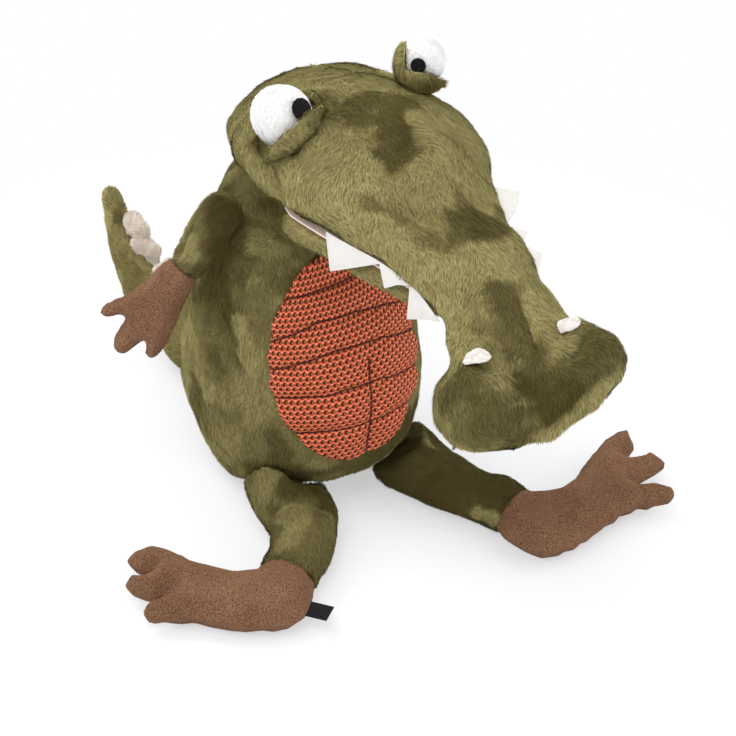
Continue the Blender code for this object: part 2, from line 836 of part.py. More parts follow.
def make_teeth(head):
    """Zigzag strips: a narrow band under the lip with three pointed teeth."""
    felt = cloth("white_felt", white_felt, 0.95)
    for k, word in enumerate(("right", "left")):
        side, outline = (-1, 1)[k], tooth_edge_shares
        verts = []
        for share, height in outline:
            width, _, middle, _ = head_at(share)
            x = width * tooth_line_share
            y = head_forward(share)
            root = middle - head_depth * tooth_root_share
            drop = (root - lip_height - head_depth * height) * tooth_size_shares[k]
            out, down = sin(tooth_splays[k]), cos(tooth_splays[k])
            for thick in (-felt_thickness / 2, felt_thickness / 2):
                verts.append(Vector((side * (x + thick), y, middle)))
                verts.append(Vector((side * (x + drop * out + thick * down), y,
                                     root - drop * down + thick * out)))
        faces = []
        last = len(outline) - 1
        for k in range(last):
            a, b = 4 * k, 4 * (k + 1)
            faces += [(a, b, b + 1, a + 1), (a + 2, a + 3, b + 3, b + 2),
                      (a + 1, b + 1, b + 3, a + 3), (a, a + 2, b + 2, b)]
        faces += [(0, 1, 3, 2), (4 * last, 4 * last + 2, 4 * last + 3, 4 * last + 1)]
        strip = solid("teeth_" + word, verts, faces, felt)
        combine(strip, head_form("above", seat_gap, head_sides, head_rings), "DIFFERENCE")
        finish(strip, head)


# Limbs and tail

def tube(name, path, widths, heights, sides, up, material=None):
    """A closed tube of oval sections, square to its path, with rounded ends."""
    layers = []
    for k, place in enumerate(path):
        before, after = path[max(k - 1, 0)], path[min(k + 1, len(path) - 1)]
        ahead = (Vector(after) - Vector(before)).normalized()
        across = ahead.cross(Vector(up)).normalized()
        lift = across.cross(ahead)
        layers.append([
            Vector(place) + widths[k] * cos(2 * pi * s / sides) * across
            + heights[k] * sin(2 * pi * s / sides) * lift
            for s in range(sides)
        ])
    return loft(name, layers, material)


def rounded_tube(name, rows, steps, sides, up, grow=0, round_start=True, round_end=False,
                 material=None):
    """A tube through rows of place, x, y, z, width and height, with round ends on request."""
    path, widths, heights = [], [], []
    first, last = rows[0][0], rows[-1][0]
    values = [curve_at(rows, first + (last - first) * k / steps) for k in range(steps + 1)]
    points = [Vector(v[:3]) for v in values]
    wide = [v[3] + grow for v in values]
    tall = [v[4] + grow for v in values]
    if round_start:
        back = (points[0] - points[1]).normalized()
        for lift in end_lifts:
            path.append(points[0] + back * tall[0] * sin(lift))
            widths.append(wide[0] * cos(lift))
            heights.append(tall[0] * cos(lift))
    path += points
    widths += wide
    heights += tall
    if round_end:
        ahead = (points[-1] - points[-2]).normalized()
        for lift in reversed(end_lifts):
            path.append(points[-1] + ahead * tall[-1] * sin(lift))
            widths.append(wide[-1] * cos(lift))
            heights.append(tall[-1] * cos(lift))
    return tube(name, path, widths, heights, sides, up, material)


def turns_of(span, cuts):
    """Angles from one limit of a joint to the other, and its rest."""
    low, high = span
    angles = [low + (high - low) * k / cuts for k in range(cuts + 1)]
    return angles if min(abs(a) for a in angles) < flat_angle else [0.0] + angles


def cut_by_body(item, pivot, axis, turns):
    """Cut a limb back from the body, also where the body is as the limb turns."""
    for angle in turns:
        space = turned(body_form("space", seat_gap, body_sides, body_rings), pivot, axis, -angle)
        combine(item, space, "DIFFERENCE")


def keep_largest(item):
    """Drop the crumbs that a cut leaves."""
    shape = bmesh.new()
    shape.from_mesh(item.data)
    left = set(shape.verts)
    groups = []
    while left:
        todo = [left.pop()]
        group = set(todo)
        while todo:
            v = todo.pop()
            for e in v.link_edges:
                w = e.other_vert(v)
                if w not in group:
                    group.add(w)
                    left.discard(w)
                    todo.append(w)
        groups.append(group)
    groups.sort(key=len, reverse=True)
    for group in groups[1:]:
        bmesh.ops.delete(shape, geom=list(group), context="VERTS")
    shape.to_mesh(item.data)
    shape.free()


def pillow(name, shares, length, width, thickness, rim, step, material):
    """Two flat panels sewn round an outline and filled; the first and last point leave
    the end open to the limb, where the piece is a full thickness high."""
    corners = [Vector((a * length, b * width)) for a, b in shares]
    outline = []
    for k in range(len(corners) - 1):
        p0, p1 = corners[max(k - 1, 0)], corners[k]
        p2, p3 = corners[k + 1], corners[min(k + 2, len(corners) - 1)]
        for t in (0.0, 0.5):
            outline.append(0.5 * ((2 * p1) + (p2 - p0) * t + (2 * p0 - 5 * p1 + 4 * p2 - p3) * t**2
                                  + (3 * p1 - p0 - 3 * p2 + p3) * t**3))
    outline.append(corners[-1])
    edge_count = len(outline)
    gap = outline[0] - outline[-1]
    across_steps = max(ceil(gap.length / step), 2)
    mouth = [outline[-1] + gap * k / across_steps for k in range(1, across_steps)]
    border = outline + mouth

    def edge_distance(p):
        best = length
        for k in range(edge_count - 1):
            a, b = outline[k], outline[k + 1]
            along = min(max((p - a).dot(b - a) / (b - a).length_squared, 0), 1)
            best = min(best, (p - a - along * (b - a)).length)
        return best

    points = list(border)
    xs = [p.x for p in border]
    ys = [p.y for p in border]
    x = min(xs) + step / 2
    while x < max(xs):
        y = min(ys) + step / 2
        while y < max(ys):
            p = Vector((x, y))
            if min((p - q).length for q in border) > step * pillow_spacing_share:
                points.append(p)
            y += step
        x += step
    edges = [(k, (k + 1) % len(border)) for k in range(len(border))]
    rows = [list(range(len(border)))]
    while True:
        flat, _, triangles, _, _, _ = delaunay_2d_cdt(points, edges, rows, 1, flat_limit)
        heights = []
        for p in flat:
            depth = min(edge_distance(p) / rim, 1)
            heights.append(thickness / 2 * sqrt(max(1 - (1 - depth) ** 2, 0)))
        count = {}
        for tri in triangles:
            for k in range(3):
                pair = frozenset((tri[k], tri[(k + 1) % 3]))
                count[pair] = count.get(pair, 0) + 1
        middles = []
        for pair, uses in count.items():
            i, j = pair
            if uses == 2 and heights[i] < flat_limit and heights[j] < flat_limit:
                middles.append((flat[i] + flat[j]) / 2)
        if not middles:
            break
        points = points + middles
    verts, upper, lower = [], [], []
    for p, h in zip(flat, heights):
        upper.append(len(verts))
        verts.append((p.x, p.y, h))
        if h > flat_limit:
            lower.append(len(verts))
            verts.append((p.x, p.y, -h))
        else:
            lower.append(upper[-1])
    faces = []
    use = {}
    for tri in triangles:
        faces.append([upper[k] for k in tri])
        faces.append([lower[k] for k in reversed(tri)])
        for k in range(3):
            pair = (tri[k], tri[(k + 1) % 3])
            use[pair] = use.get(pair, 0) + 1
    for (a, b) in use:
        if (b, a) in use:
            continue
        wall = [upper[b], upper[a]]
        if lower[a] != upper[a]:
            wall.append(lower[a])
        if lower[b] != upper[b]:
            wall.append(lower[b])
        if len(wall) > 2:
            faces.append(wall)
    return solid(name, verts, faces, material)


def limb_with_filling(name, rows, steps, sides, up, root, pivot, axis, turns, slit_side):
    """A pile sleeve cut back from the body, hollow, and the filling inside it."""
    skin = rounded_tube(name, rows, steps, sides, up, material=cloth("olive_pile", olive, 0.95))
    cut_by_body(skin, pivot, axis, turns)
    start, end = rows[0][0], rows[-1][0]
    first = start + (end - start) * filling_start_share
    last = start + (end - start) * filling_end_share
    inner = [[place] + curve_at(rows, place) for place in (first, (first + last) / 2, last)]
    hollow = rounded_tube("hollow", inner, steps, sides - fewer_sides, up, grow=-pile_wall,
                          round_end=True)
    combine(skin, hollow, "DIFFERENCE")
    mouth = Vector(inner[1][1:4]) + Vector(slit_side) * (inner[1][5] - pile_wall / 2)
    combine(skin, ball("slit", mouth, slit_radius, slit_sides, slit_rings), "DIFFERENCE")
    keep_largest(skin)
    finish(skin, root)
    core = rounded_tube(name.replace("_", "_stuffing_"), inner, steps, sides - fewer_sides, up,
                        grow=-pile_wall - seat_gap, round_end=True,
                        material=cloth("filling", filling, 1.0))
    finish(core, root)


def make_arms(sockets):
    for k, word in enumerate(("right", "left")):
        out = (-1, 1)[k]
        shoulder = Vector((out * shoulder_spread, -shoulder_forward, shoulder_height))
        wrist = Vector((out * wrist_spread, -wrist_forward, wrist_height))
        reach = Vector((-out * hand_reach[0], hand_reach[1], hand_reach[2])).normalized()
        facing = Vector((-out * hand_facing[0], hand_facing[1], hand_facing[2])).normalized()
        last = wrist - reach * felt_thickness
        rows = []
        for share in arm_shares:
            at = shoulder.lerp(last, share)
            wide = arm_root_radius + (arm_wrist_width - arm_root_radius) * share
            tall = arm_root_radius + (arm_wrist_depth - arm_root_radius) * share
            rows.append((share, at.x, at.y, at.z, wide, tall))
        limb_with_filling("arm_" + word, rows, arm_steps, arm_sides, facing, sockets[word], shoulder,
                          (-1, 0, 0), turns_of(shoulder_range, shoulder_cuts), -facing)
        hand = pillow("hand_" + word, hand_shares, hand_length, hand_half_width, hand_thickness,
                      hand_rim, hand_step, cloth("brown_suede", suede, 0.9))
        side = facing.cross(reach) * out * -1
        frame = Matrix((reach, side, facing)).transposed().to_4x4()
        frame.translation = wrist + reach * seat_gap
        hand.data.transform(frame)
        if frame.determinant() < 0:
            hand.data.flip_normals()
        finish(hand, sockets[word])


def leg_rows(k):
    out = (-1, 1)[k]
    hip = Vector((out * hip_spread, -hip_forward, leg_height - floor_flat))
    ankle_x, ankle_y = ankle_places[k]
    ankle = Vector((out * ankle_x, -ankle_y, ankle_height - floor_flat))
    heading = foot_headings[k]
    toward_leg = Vector((-sin(heading) * out, cos(heading) * out, 0)) * -1
    if toward_leg.y < 0:
        toward_leg = -toward_leg
    bend = ankle + toward_leg * ankle_run
    run = bend - hip
    across = Vector((run.y, -run.x, 0)).normalized() * out
    rows = []
    for share, bow, size in leg_shares:
        at = hip.lerp(bend, share) + across * leg_bows[k] * bow
        tall = leg_height + (ankle_height - leg_height) * share
        at.z = tall * size - floor_flat
        wide = leg_width + (ankle_width - leg_width) * share
        rows.append((share * ankle_bend_share, at.x, at.y, at.z, wide * size, tall * size))
    rows.append((ankle_bend_share, bend.x, bend.y, ankle_height - floor_flat, ankle_width,
                 ankle_height))
    rows.append((1.0, ankle.x, ankle.y, ankle.z, ankle_width, ankle_height))
    return hip, ankle, toward_leg, rows


def hip_axis(k):
    """The axis across the leg, so that a positive turn lifts it."""
    hip, ankle, _, _ = leg_rows(k)
    run = ankle - hip
    return Vector((run.y, -run.x, 0)).normalized()


def make_legs(sockets):
    for k, word in enumerate(("right", "left")):
        hip, ankle, toward_leg, rows = leg_rows(k)
        limb_with_filling("leg_" + word, rows, leg_steps, leg_sides, (0, 0, 1), sockets[word], hip,
                          hip_axis(k), turns_of(hip_range, hip_cuts), (0, 0, -1))
        spread = foot_spread_shares[k] / (1 - toe_root_share)
        outline = [(along, across + (across - toe_middle_share) * max(along - toe_root_share, 0) * spread)
                   for along, across in foot_shares]
        foot = pillow("foot_" + word, outline, foot_lengths[k], foot_width, foot_thickness,
                      foot_rim, pillow_step, cloth("brown_suede", suede, 0.9))
        along = Vector((cos(foot_headings[k]), sin(foot_headings[k]), 0))
        middle = Vector((ankle_along_share * foot_lengths[k], ankle_across_share * foot_width, 0))
        frame = Matrix((along, toward_leg, (0, 0, 1))).transposed().to_4x4()
        frame.translation = Vector((ankle.x, ankle.y, 0)) - frame.to_3x3() @ middle - toward_leg * seat_gap
        frame.translation.z = foot_thickness / 2 - floor_flat
        foot.data.transform(frame)
        if frame.determinant() < 0:
            foot.data.flip_normals()
        for v in foot.data.vertices:
            v.co.z = max(v.co.z, 0)
        finish(foot, sockets[word])
        if word == "right":
            make_label(frame, sockets[word])


def make_label(frame, socket):
    """A folded ribbon that stands out of the heel's seam."""
    start = label_along_share * foot_lengths[0] - seat_gap
    mid = label_across_share * foot_width
    verts = []
    for x in (start, start - label_length):
        for y in (mid - label_width / 2, mid + label_width / 2):
            for z in (-label_thickness / 2, label_thickness / 2):
                verts.append(frame @ Vector((x, y, z)))
    faces = [(0, 1, 3, 2), (4, 6, 7, 5), (0, 4, 5, 1), (2, 3, 7, 6), (0, 2, 6, 4), (1, 5, 7, 3)]
    tab = solid("label_tab", verts, faces, cloth("black_ribbon", black, 0.7))
    finish(tab, socket)


def tail_rows():
    rows = []
    for along, sideways, rise, size in tail_shares:
        radius = tail_tip_radius + (tail_root_radius - tail_tip_radius) * size
        low = radius - floor_flat
        rows.append((along, -tail_swing * sideways, tail_start + tail_reach * along,
                     low + tail_rise * rise, radius, radius))
    return rows


def tail_pivot():
    return Vector(tail_rows()[0][1:4])


def make_tail(socket):
    rows = tail_rows()
    skin = rounded_tube("tail", rows, tail_steps, tail_sides, tail_up, round_end=True,
                        material=cloth("olive_pile", olive, 0.95))
    for v in skin.data.vertices:
        v.co.z = max(v.co.z, 0)
    cut_by_body(skin, tail_pivot(), (0, 0, 1), turns_of(tail_range, tail_cuts))
    inner = [[place] + curve_at(rows, place) for place in tail_filling_shares]
    hollow = rounded_tube("hollow", inner, tail_filling_steps, tail_sides - fewer_sides, tail_up,
                          grow=-pile_wall, round_end=True)
    combine(skin, hollow, "DIFFERENCE")
    mouth = Vector(inner[1][1:4]) - Vector((0, 0, inner[1][5] - pile_wall / 2))
    combine(skin, ball("slit", mouth, slit_radius, slit_sides, slit_rings), "DIFFERENCE")
    keep_largest(skin)
    finish(skin, socket)
    core = rounded_tube("tail_stuffing", inner, tail_filling_steps, tail_sides - fewer_sides, tail_up,
                        grow=-pile_wall - seat_gap, round_end=True,
                        material=cloth("filling", filling, 1.0))
    finish(core, socket)
    for k, share in enumerate(reversed(spike_shares)):
        x, y, z, radius, _ = curve_at(rows, share)
        ahead = (Vector(curve_at(rows, share + tail_look_share)[:3]) - Vector((x, y, z))).normalized()
        across = ahead.cross(Vector(tail_up)).normalized()
        lift = across.cross(ahead)
        lift, across = (lift * cos(spike_lean) + across * sin(spike_lean),
                        across * cos(spike_lean) - lift * sin(spike_lean))
        base = Vector((x, y, z)) + lift * (radius - spike_height * spike_sink_share)
        layers = []
        for rise, size in spike_shape_shares:
            layers.append([
                base + lift * spike_height * rise
                + ahead * spike_length / 2 * size * cos(2 * pi * s / spike_sides)
                + across * spike_width / 2 * size * sin(2 * pi * s / spike_sides)
                for s in range(spike_sides)
            ])
        spike = loft("tail_spike_%d" % (k + 1), layers, cloth("cream_fleece", cream, 0.98))
        space = rounded_tube("space", rows, tail_steps, tail_sides, tail_up, grow=seat_gap, round_end=True)
        combine(spike, space, "DIFFERENCE")
        keep_largest(spike)
        finish(spike, socket)


def main():
    clear_scene()
    root = pivot_empty("torso_place", (0, 0, 0))
    head = pivot_empty("neck_pivot", neck_centre(), root)
    jaw = pivot_empty("jaw_pivot", jaw_pivot(), head)
    arms, legs = {}, {}
    for k, word in enumerate(("right", "left")):
        out = (-1, 1)[k]
        arms[word] = pivot_empty("shoulder_" + word,
                                 (out * shoulder_spread, -shoulder_forward, shoulder_height), root)
        legs[word] = pivot_empty("hip_" + word, leg_rows(k)[0], root)
    tail = pivot_empty("tail_pivot", tail_pivot(), root)
    make_body(root)
    make_belly_panel(root)
    make_head(head)
    make_eyes(head)
    make_nostrils(head)
    make_jaw(jaw)
    make_linings(head, jaw)
    make_teeth(head)
    make_arms(arms)
    make_legs(legs)
    make_tail(tail)
    for name, empty in (("neck", head), ("jaw", jaw), ("tail", tail)):
        print(name, "pivot", [round(v, 5) for v in empty.matrix_world.translation])
    for k, word in enumerate(("right", "left")):
        print("hip", word, [round(v, 5) for v in legs[word].matrix_world.translation],
              [round(v, 5) for v in hip_axis(k)])
        print("shoulder", word, [round(v, 5) for v in arms[word].matrix_world.translation])


main()
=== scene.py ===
from math import pi, radians, sqrt
import bmesh
import bpy
import numpy as np
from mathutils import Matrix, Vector
from mathutils.bvhtree import BVHTree


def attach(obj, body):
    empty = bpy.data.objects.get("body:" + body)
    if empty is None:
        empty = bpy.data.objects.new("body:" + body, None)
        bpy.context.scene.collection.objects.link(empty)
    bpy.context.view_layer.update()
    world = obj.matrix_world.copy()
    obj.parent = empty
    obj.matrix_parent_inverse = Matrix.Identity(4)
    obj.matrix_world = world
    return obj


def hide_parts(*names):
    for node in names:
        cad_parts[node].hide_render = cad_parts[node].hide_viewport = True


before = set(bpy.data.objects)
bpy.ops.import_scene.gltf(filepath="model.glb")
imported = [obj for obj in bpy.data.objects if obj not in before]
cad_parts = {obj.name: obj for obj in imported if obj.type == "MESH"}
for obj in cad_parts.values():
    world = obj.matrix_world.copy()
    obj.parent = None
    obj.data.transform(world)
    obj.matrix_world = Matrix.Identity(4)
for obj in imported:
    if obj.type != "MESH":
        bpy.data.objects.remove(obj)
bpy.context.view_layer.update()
mm = 0.001
white = (1.0, 1.0, 1.0, 1.0)
print("frame loaded")


# Sums on sockets, for shaders and geometry trees alike

class Wire:
    def __init__(self, tree, socket):
        self.tree, self.socket = tree, socket

    def out(self, key):  # another output of the same node
        return Wire(self.tree, self.socket.node.outputs[key])

    def math(self, operation, first, second=0.0):
        return self.tree.add("ShaderNodeMath", {0: first, 1: second}, {"operation": operation})

    def __add__(self, other):
        return self.math("ADD", self, other)

    __radd__ = __add__

    def __sub__(self, other):
        return self.math("SUBTRACT", self, other)

    def __rsub__(self, other):
        return self.math("SUBTRACT", other, self)

    def __mul__(self, other):
        return self.math("MULTIPLY", self, other)

    __rmul__ = __mul__

    def __truediv__(self, other):
        return self.math("DIVIDE", self, other)

    def __mod__(self, other):
        return self.math("FLOORED_MODULO", self, other)

    def __abs__(self):
        return self.math("ABSOLUTE", self)

    def floor(self):
        return self.math("FLOOR", self)

    def fade(self, low, high):  # 0 below low, 1 above high, smooth between
        return self.tree.add("ShaderNodeMapRange", {0: self, 1: low, 2: high, 3: 0.0, 4: 1.0},
                             {"interpolation_type": "SMOOTHSTEP"})


class Recipe:
    def __init__(self, nodes):
        self.nodes = nodes

    def add(self, kind, sockets=None, settings=None, out=0):
        made = self.nodes.nodes.new(kind)
        for key, value in (settings or {}).items():
            setattr(made, key, value)
        for key, value in (sockets or {}).items():
            if isinstance(value, Wire):
                self.nodes.links.new(value.socket, made.inputs[key])
            else:
                made.inputs[key].default_value = value
        return Wire(self, made.outputs[out]) if made.outputs else None

    def mix(self, factor, first, second):  # two colours
        return self.add("ShaderNodeMix", {0: factor, 6: first, 7: second}, {"data_type": "RGBA"}, 2)

    def vector(self, operation, first, second=(0.0, 0.0, 0.0)):
        return self.add("ShaderNodeVectorMath", {0: first, 1: second}, {"operation": operation})

    def scaled(self, vector, factor):
        return self.add("ShaderNodeVectorMath", {0: vector, 3: factor}, {"operation": "SCALE"})

    def attribute(self, name, out=2):
        return self.add("ShaderNodeAttribute", None, {"attribute_name": name}, out)

    def noise(self, scale, detail=2.0, roughness=0.5, where=None):  # without where: fixed to the piece
        where = where or self.add("ShaderNodeTexCoord", out="Object")
        return self.add("ShaderNodeTexNoise",
                        {"Vector": where, "Scale": scale, "Detail": detail, "Roughness": roughness})


def tint(code):  # a colour as it is seen, such as 8a8450
    parts = [int(code[k:k + 2], 16) / 255 for k in (0, 2, 4)]
    return tuple(p / 12.92 if p < 0.04045 else ((p + 0.055) / 1.055) ** 2.4 for p in parts) + (1.0,)


def tints(**codes):
    return {name: tint(code) for name, code in codes.items()}


def newFinish(name):
    made = bpy.data.materials.new(name)
    made.use_nodes = True
    made.node_tree.nodes.clear()
    return made, Recipe(made.node_tree)


def finishUp(recipe, colour, roughness, gloss, sheen=0.0, sheenTint=white,
             height=None, bump=0.3, depth=0.001):
    sockets = {"Base Color": colour, "Roughness": roughness, "Specular IOR Level": gloss,
               "Sheen Weight": sheen, "Sheen Tint": sheenTint}
    if height is not None:
        bumps = {"Strength": bump, "Distance": depth, "Height": height}
        sockets["Normal"] = recipe.add("ShaderNodeBump", bumps)
    shader = recipe.add("ShaderNodeBsdfPrincipled", sockets)
    recipe.add("ShaderNodeOutputMaterial", {0: shader})


# Cloth finishes

noiseScale = {
    "blotch": 42.0, "streak": 300.0, "nap": 2300.0, "speck": 1350.0, "suedeCloud": 38.0, "feltCloud": 60.0,
}


def pileShades(codes, sheen, roughness):
    names = ("glow", "light", "mid", "dark", "root", "sheenTint")
    return {**tints(**dict(zip(names, codes))), "sheen": sheen, "roughness": roughness}


pileLook = pileShades(("c2b986", "aca26e", "8c8254", "3d3317", "665b33", "a29650"), 0.3, 0.9)
whiteLook = pileShades(("fefefe", "fefefd", "fbfbfa", "f0f0ee", "f6f6f5", "ffffff"), 0.2, 0.85)
fleeceLook = pileShades(("f2eae0", "ece2d6", "ddd0c2", "b3a28f", "c4b5a4", "f6ead9"), 0.2, 0.9)


def pileFinish(name, look):  # shaded by strand and lock, painted shade where tone is high and painted sunlight where it is low
    made, r = newFinish(name)
    tone = r.attribute("tone")
    along = r.add("ShaderNodeSeparateXYZ", {0: r.attribute("spot", 1)}, out=1)
    blotch = r.noise(noiseScale["blotch"], 3.0, 0.6)
    shade = r.attribute("strand") * 0.3 + r.attribute("lock") * 0.45 + blotch.fade(0.3, 0.7) * 0.25
    colour = r.mix(shade, look["mid"], look["light"])
    # some strands at random take the colour of the shaded roots
    colour = r.mix((1.0 - r.attribute("strand").fade(0.05, 0.3)) * 0.6, colour, look["root"])
    # painted highlight where tone is below 0
    colour = r.mix((0.0 - tone).fade(0.0, 1.0) * 0.85, colour, look["glow"])
    # painted shade where tone is above 0
    colour = r.mix(tone.fade(0.0, 1.0) * 0.9, colour, look["dark"])
    # painted shade deep in the pile, darker towards the strand roots
    colour = r.mix((1.0 - along.fade(-0.1, 0.6)) * 0.55, colour, look["root"])
    finishUp(r, colour, look["roughness"], 0.03, look["sheen"], look["sheenTint"])
    return made


def backingFinish(name, look):  # the knitted ground under the strands
    made, r = newFinish(name)
    streak = r.noise(noiseScale["streak"], 4.0, 0.65)
    colour = r.mix(streak.fade(0.3, 0.7), look["mid"], look["light"])
    # painted shade where tone is above 0, as on the strands
    colour = r.mix(r.attribute("tone").fade(0.0, 1.0) * 0.85, colour, look["dark"])
    finishUp(r, colour, 0.95, 0.03, 0.3, look["sheenTint"], streak, 0.5)
    return made


suedeLook = tints(light="83604a", mid="6c4c38", dark="3f2a1b", nap="a58266", sheenTint="b89478")


def suedeFinish(name, look):
    made, r = newFinish(name)
    fine = r.noise(noiseScale["nap"], 2.0, 0.6)
    speck = r.noise(noiseScale["speck"], 2.0, 0.6)
    cloud = r.noise(noiseScale["suedeCloud"], 4.0, 0.6)
    colour = r.mix(cloud.fade(0.3, 0.72), look["mid"], look["light"])
    colour = r.mix(speck.fade(0.46, 0.62) * 0.88, colour, look["dark"])
    colour = r.mix(fine.fade(0.5, 0.66) * 0.72, colour, look["nap"])
    height = fine * 0.5 + speck * 0.5
    finishUp(r, colour, fine * 0.15 + 0.8, 0.05, 0.2, look["sheenTint"], height, 0.5, 0.0007)
    return made


def feltFinish(name, pale, shade, grain=700.0, strength=0.3):
    made, r = newFinish(name)
    fibre = r.noise(grain, 4.0, 0.7)
    cloud = r.noise(noiseScale["feltCloud"], 2.0, 0.5)
    shade = tint(shade)
    colour = r.mix(fibre.fade(0.35, 0.7), shade, tint(pale))
    colour = r.mix(cloud.fade(0.45, 0.8) * 0.25, colour, shade)
    finishUp(r, colour, fibre * 0.1 + 0.85, 0.1, 0.05, white, fibre, strength, 0.0004)
    return made


meshLook = {
    # the threads' own colours, with painted shade on their sides and painted highlight on their crowns
    **tints(thread="f0714a", crown="f79a78", deep="a83a24", hole="3e1212", fleck="b98a3a", seam="4a2018"),
    "across": 3.2, "up": 3.1,  # mm from hole to hole
    "holeWide": 0.40, "holeHigh": 0.44, "point": 0.35, "wander": 0.35,
}


def meshFinish(name, look):  # spacer knit: bright threads cross round dark pointed holes, in staggered rows
    made, r = newFinish(name)
    knit = r.attribute("knit", 1)
    split = r.add("ShaderNodeSeparateXYZ", {0: knit})
    wander = r.noise(look["wander"], where=knit) - 0.5
    across = split / look["across"] + wander * 0.22
    up, seam = split.out(1) / look["up"] + wander * 0.15, split.out(2)
    col = across + (up.floor() % 2.0) * 0.5
    p = (col % 1.0) - 0.5
    q = (up % 1.0) - 0.5
    rim = abs(p) / look["holeWide"] + abs(q - 0.05 + abs(p) * look["point"]) / look["holeHigh"] - 1.0
    hole = 1.0 - rim.fade(-0.12, 0.12)  # the rim is below 0 inside a hole
    raised = rim.fade(0.0, 0.65)
    fleck = (1.0 - (abs(p - 0.17) / 0.11).fade(0.6, 1.2)) * (1.0 - (abs(q + 0.02) / 0.24).fade(0.6, 1.2))
    ply = r.noise(2.2, where=knit)
    # painted shade on the thread sides by the holes
    colour = r.mix(raised * 0.75 + ply * 0.3, look["deep"], look["thread"])
    # painted highlight on the thread crowns
    colour = r.mix(rim.fade(0.55, 0.95) * 0.6, colour, look["crown"])
    colour = r.mix(hole, colour, look["hole"])
    colour = r.mix(fleck * 0.75, colour, look["fleck"])
    colour = r.mix(seam.fade(0.3, 0.9) * 0.85, colour, look["seam"])
    finishUp(r, colour, 0.75, 0.25, height=raised + fleck * 0.3, bump=0.9)
    return made


finishes = {
    "pile": pileFinish("olivePile", pileLook),
    "backing": backingFinish("oliveBacking", pileLook),
    "whitePile": pileFinish("whitePile", whiteLook),
    "whiteBacking": feltFinish("whiteBacking", "f6f6f4", "e6e6e4"),
    "gathered": feltFinish("gatheredFelt", "e6e2de", "c6bfb8", 420.0, 0.4),
    "suede": suedeFinish("brownSuede", suedeLook),
    "whiteFelt": feltFinish("whiteFelt", "e2dfdb", "d8d4ce", 900.0, 0.15),
    "blush": feltFinish("blushFelt", "f3e4e2", "e3cbc8"),
    "blackFelt": feltFinish("blackFelt", "1a1a1e", "101013", 1100.0, 0.15),
    "ribbon": feltFinish("blackRibbon", "26262a", "141417", 500.0, 0.2),
    "fleece": pileFinish("creamFleece", fleeceLook),
    "fleeceBacking": feltFinish("fleeceBacking", "e8ddd1", "c7b8a6"),
    "stitch": feltFinish("darkThread", "4a241a", "2e1410", 1200.0, 0.3),
    "mesh": meshFinish("coralMesh", meshLook),
}
print("finishes made")


# Strands grown on a form

habit = {
    "crushed": 0.5,  # how much of its lift a strand loses where tone is 1
    "locks": 330.0, "sway": 0.3, "shortest": 0.65, "longest": 1.25, "floor": -0.3,
}


def newTree(name, inputs, output):
    made = bpy.data.node_groups.new(name, "GeometryNodeTree")
    for key, kind in inputs:
        made.interface.new_socket(name=key, in_out="INPUT", socket_type="NodeSocket" + kind)
    made.interface.new_socket(name=output, in_out="OUTPUT", socket_type="NodeSocketGeometry")
    g = Recipe(made)
    return made, g, g.add("NodeGroupInput")


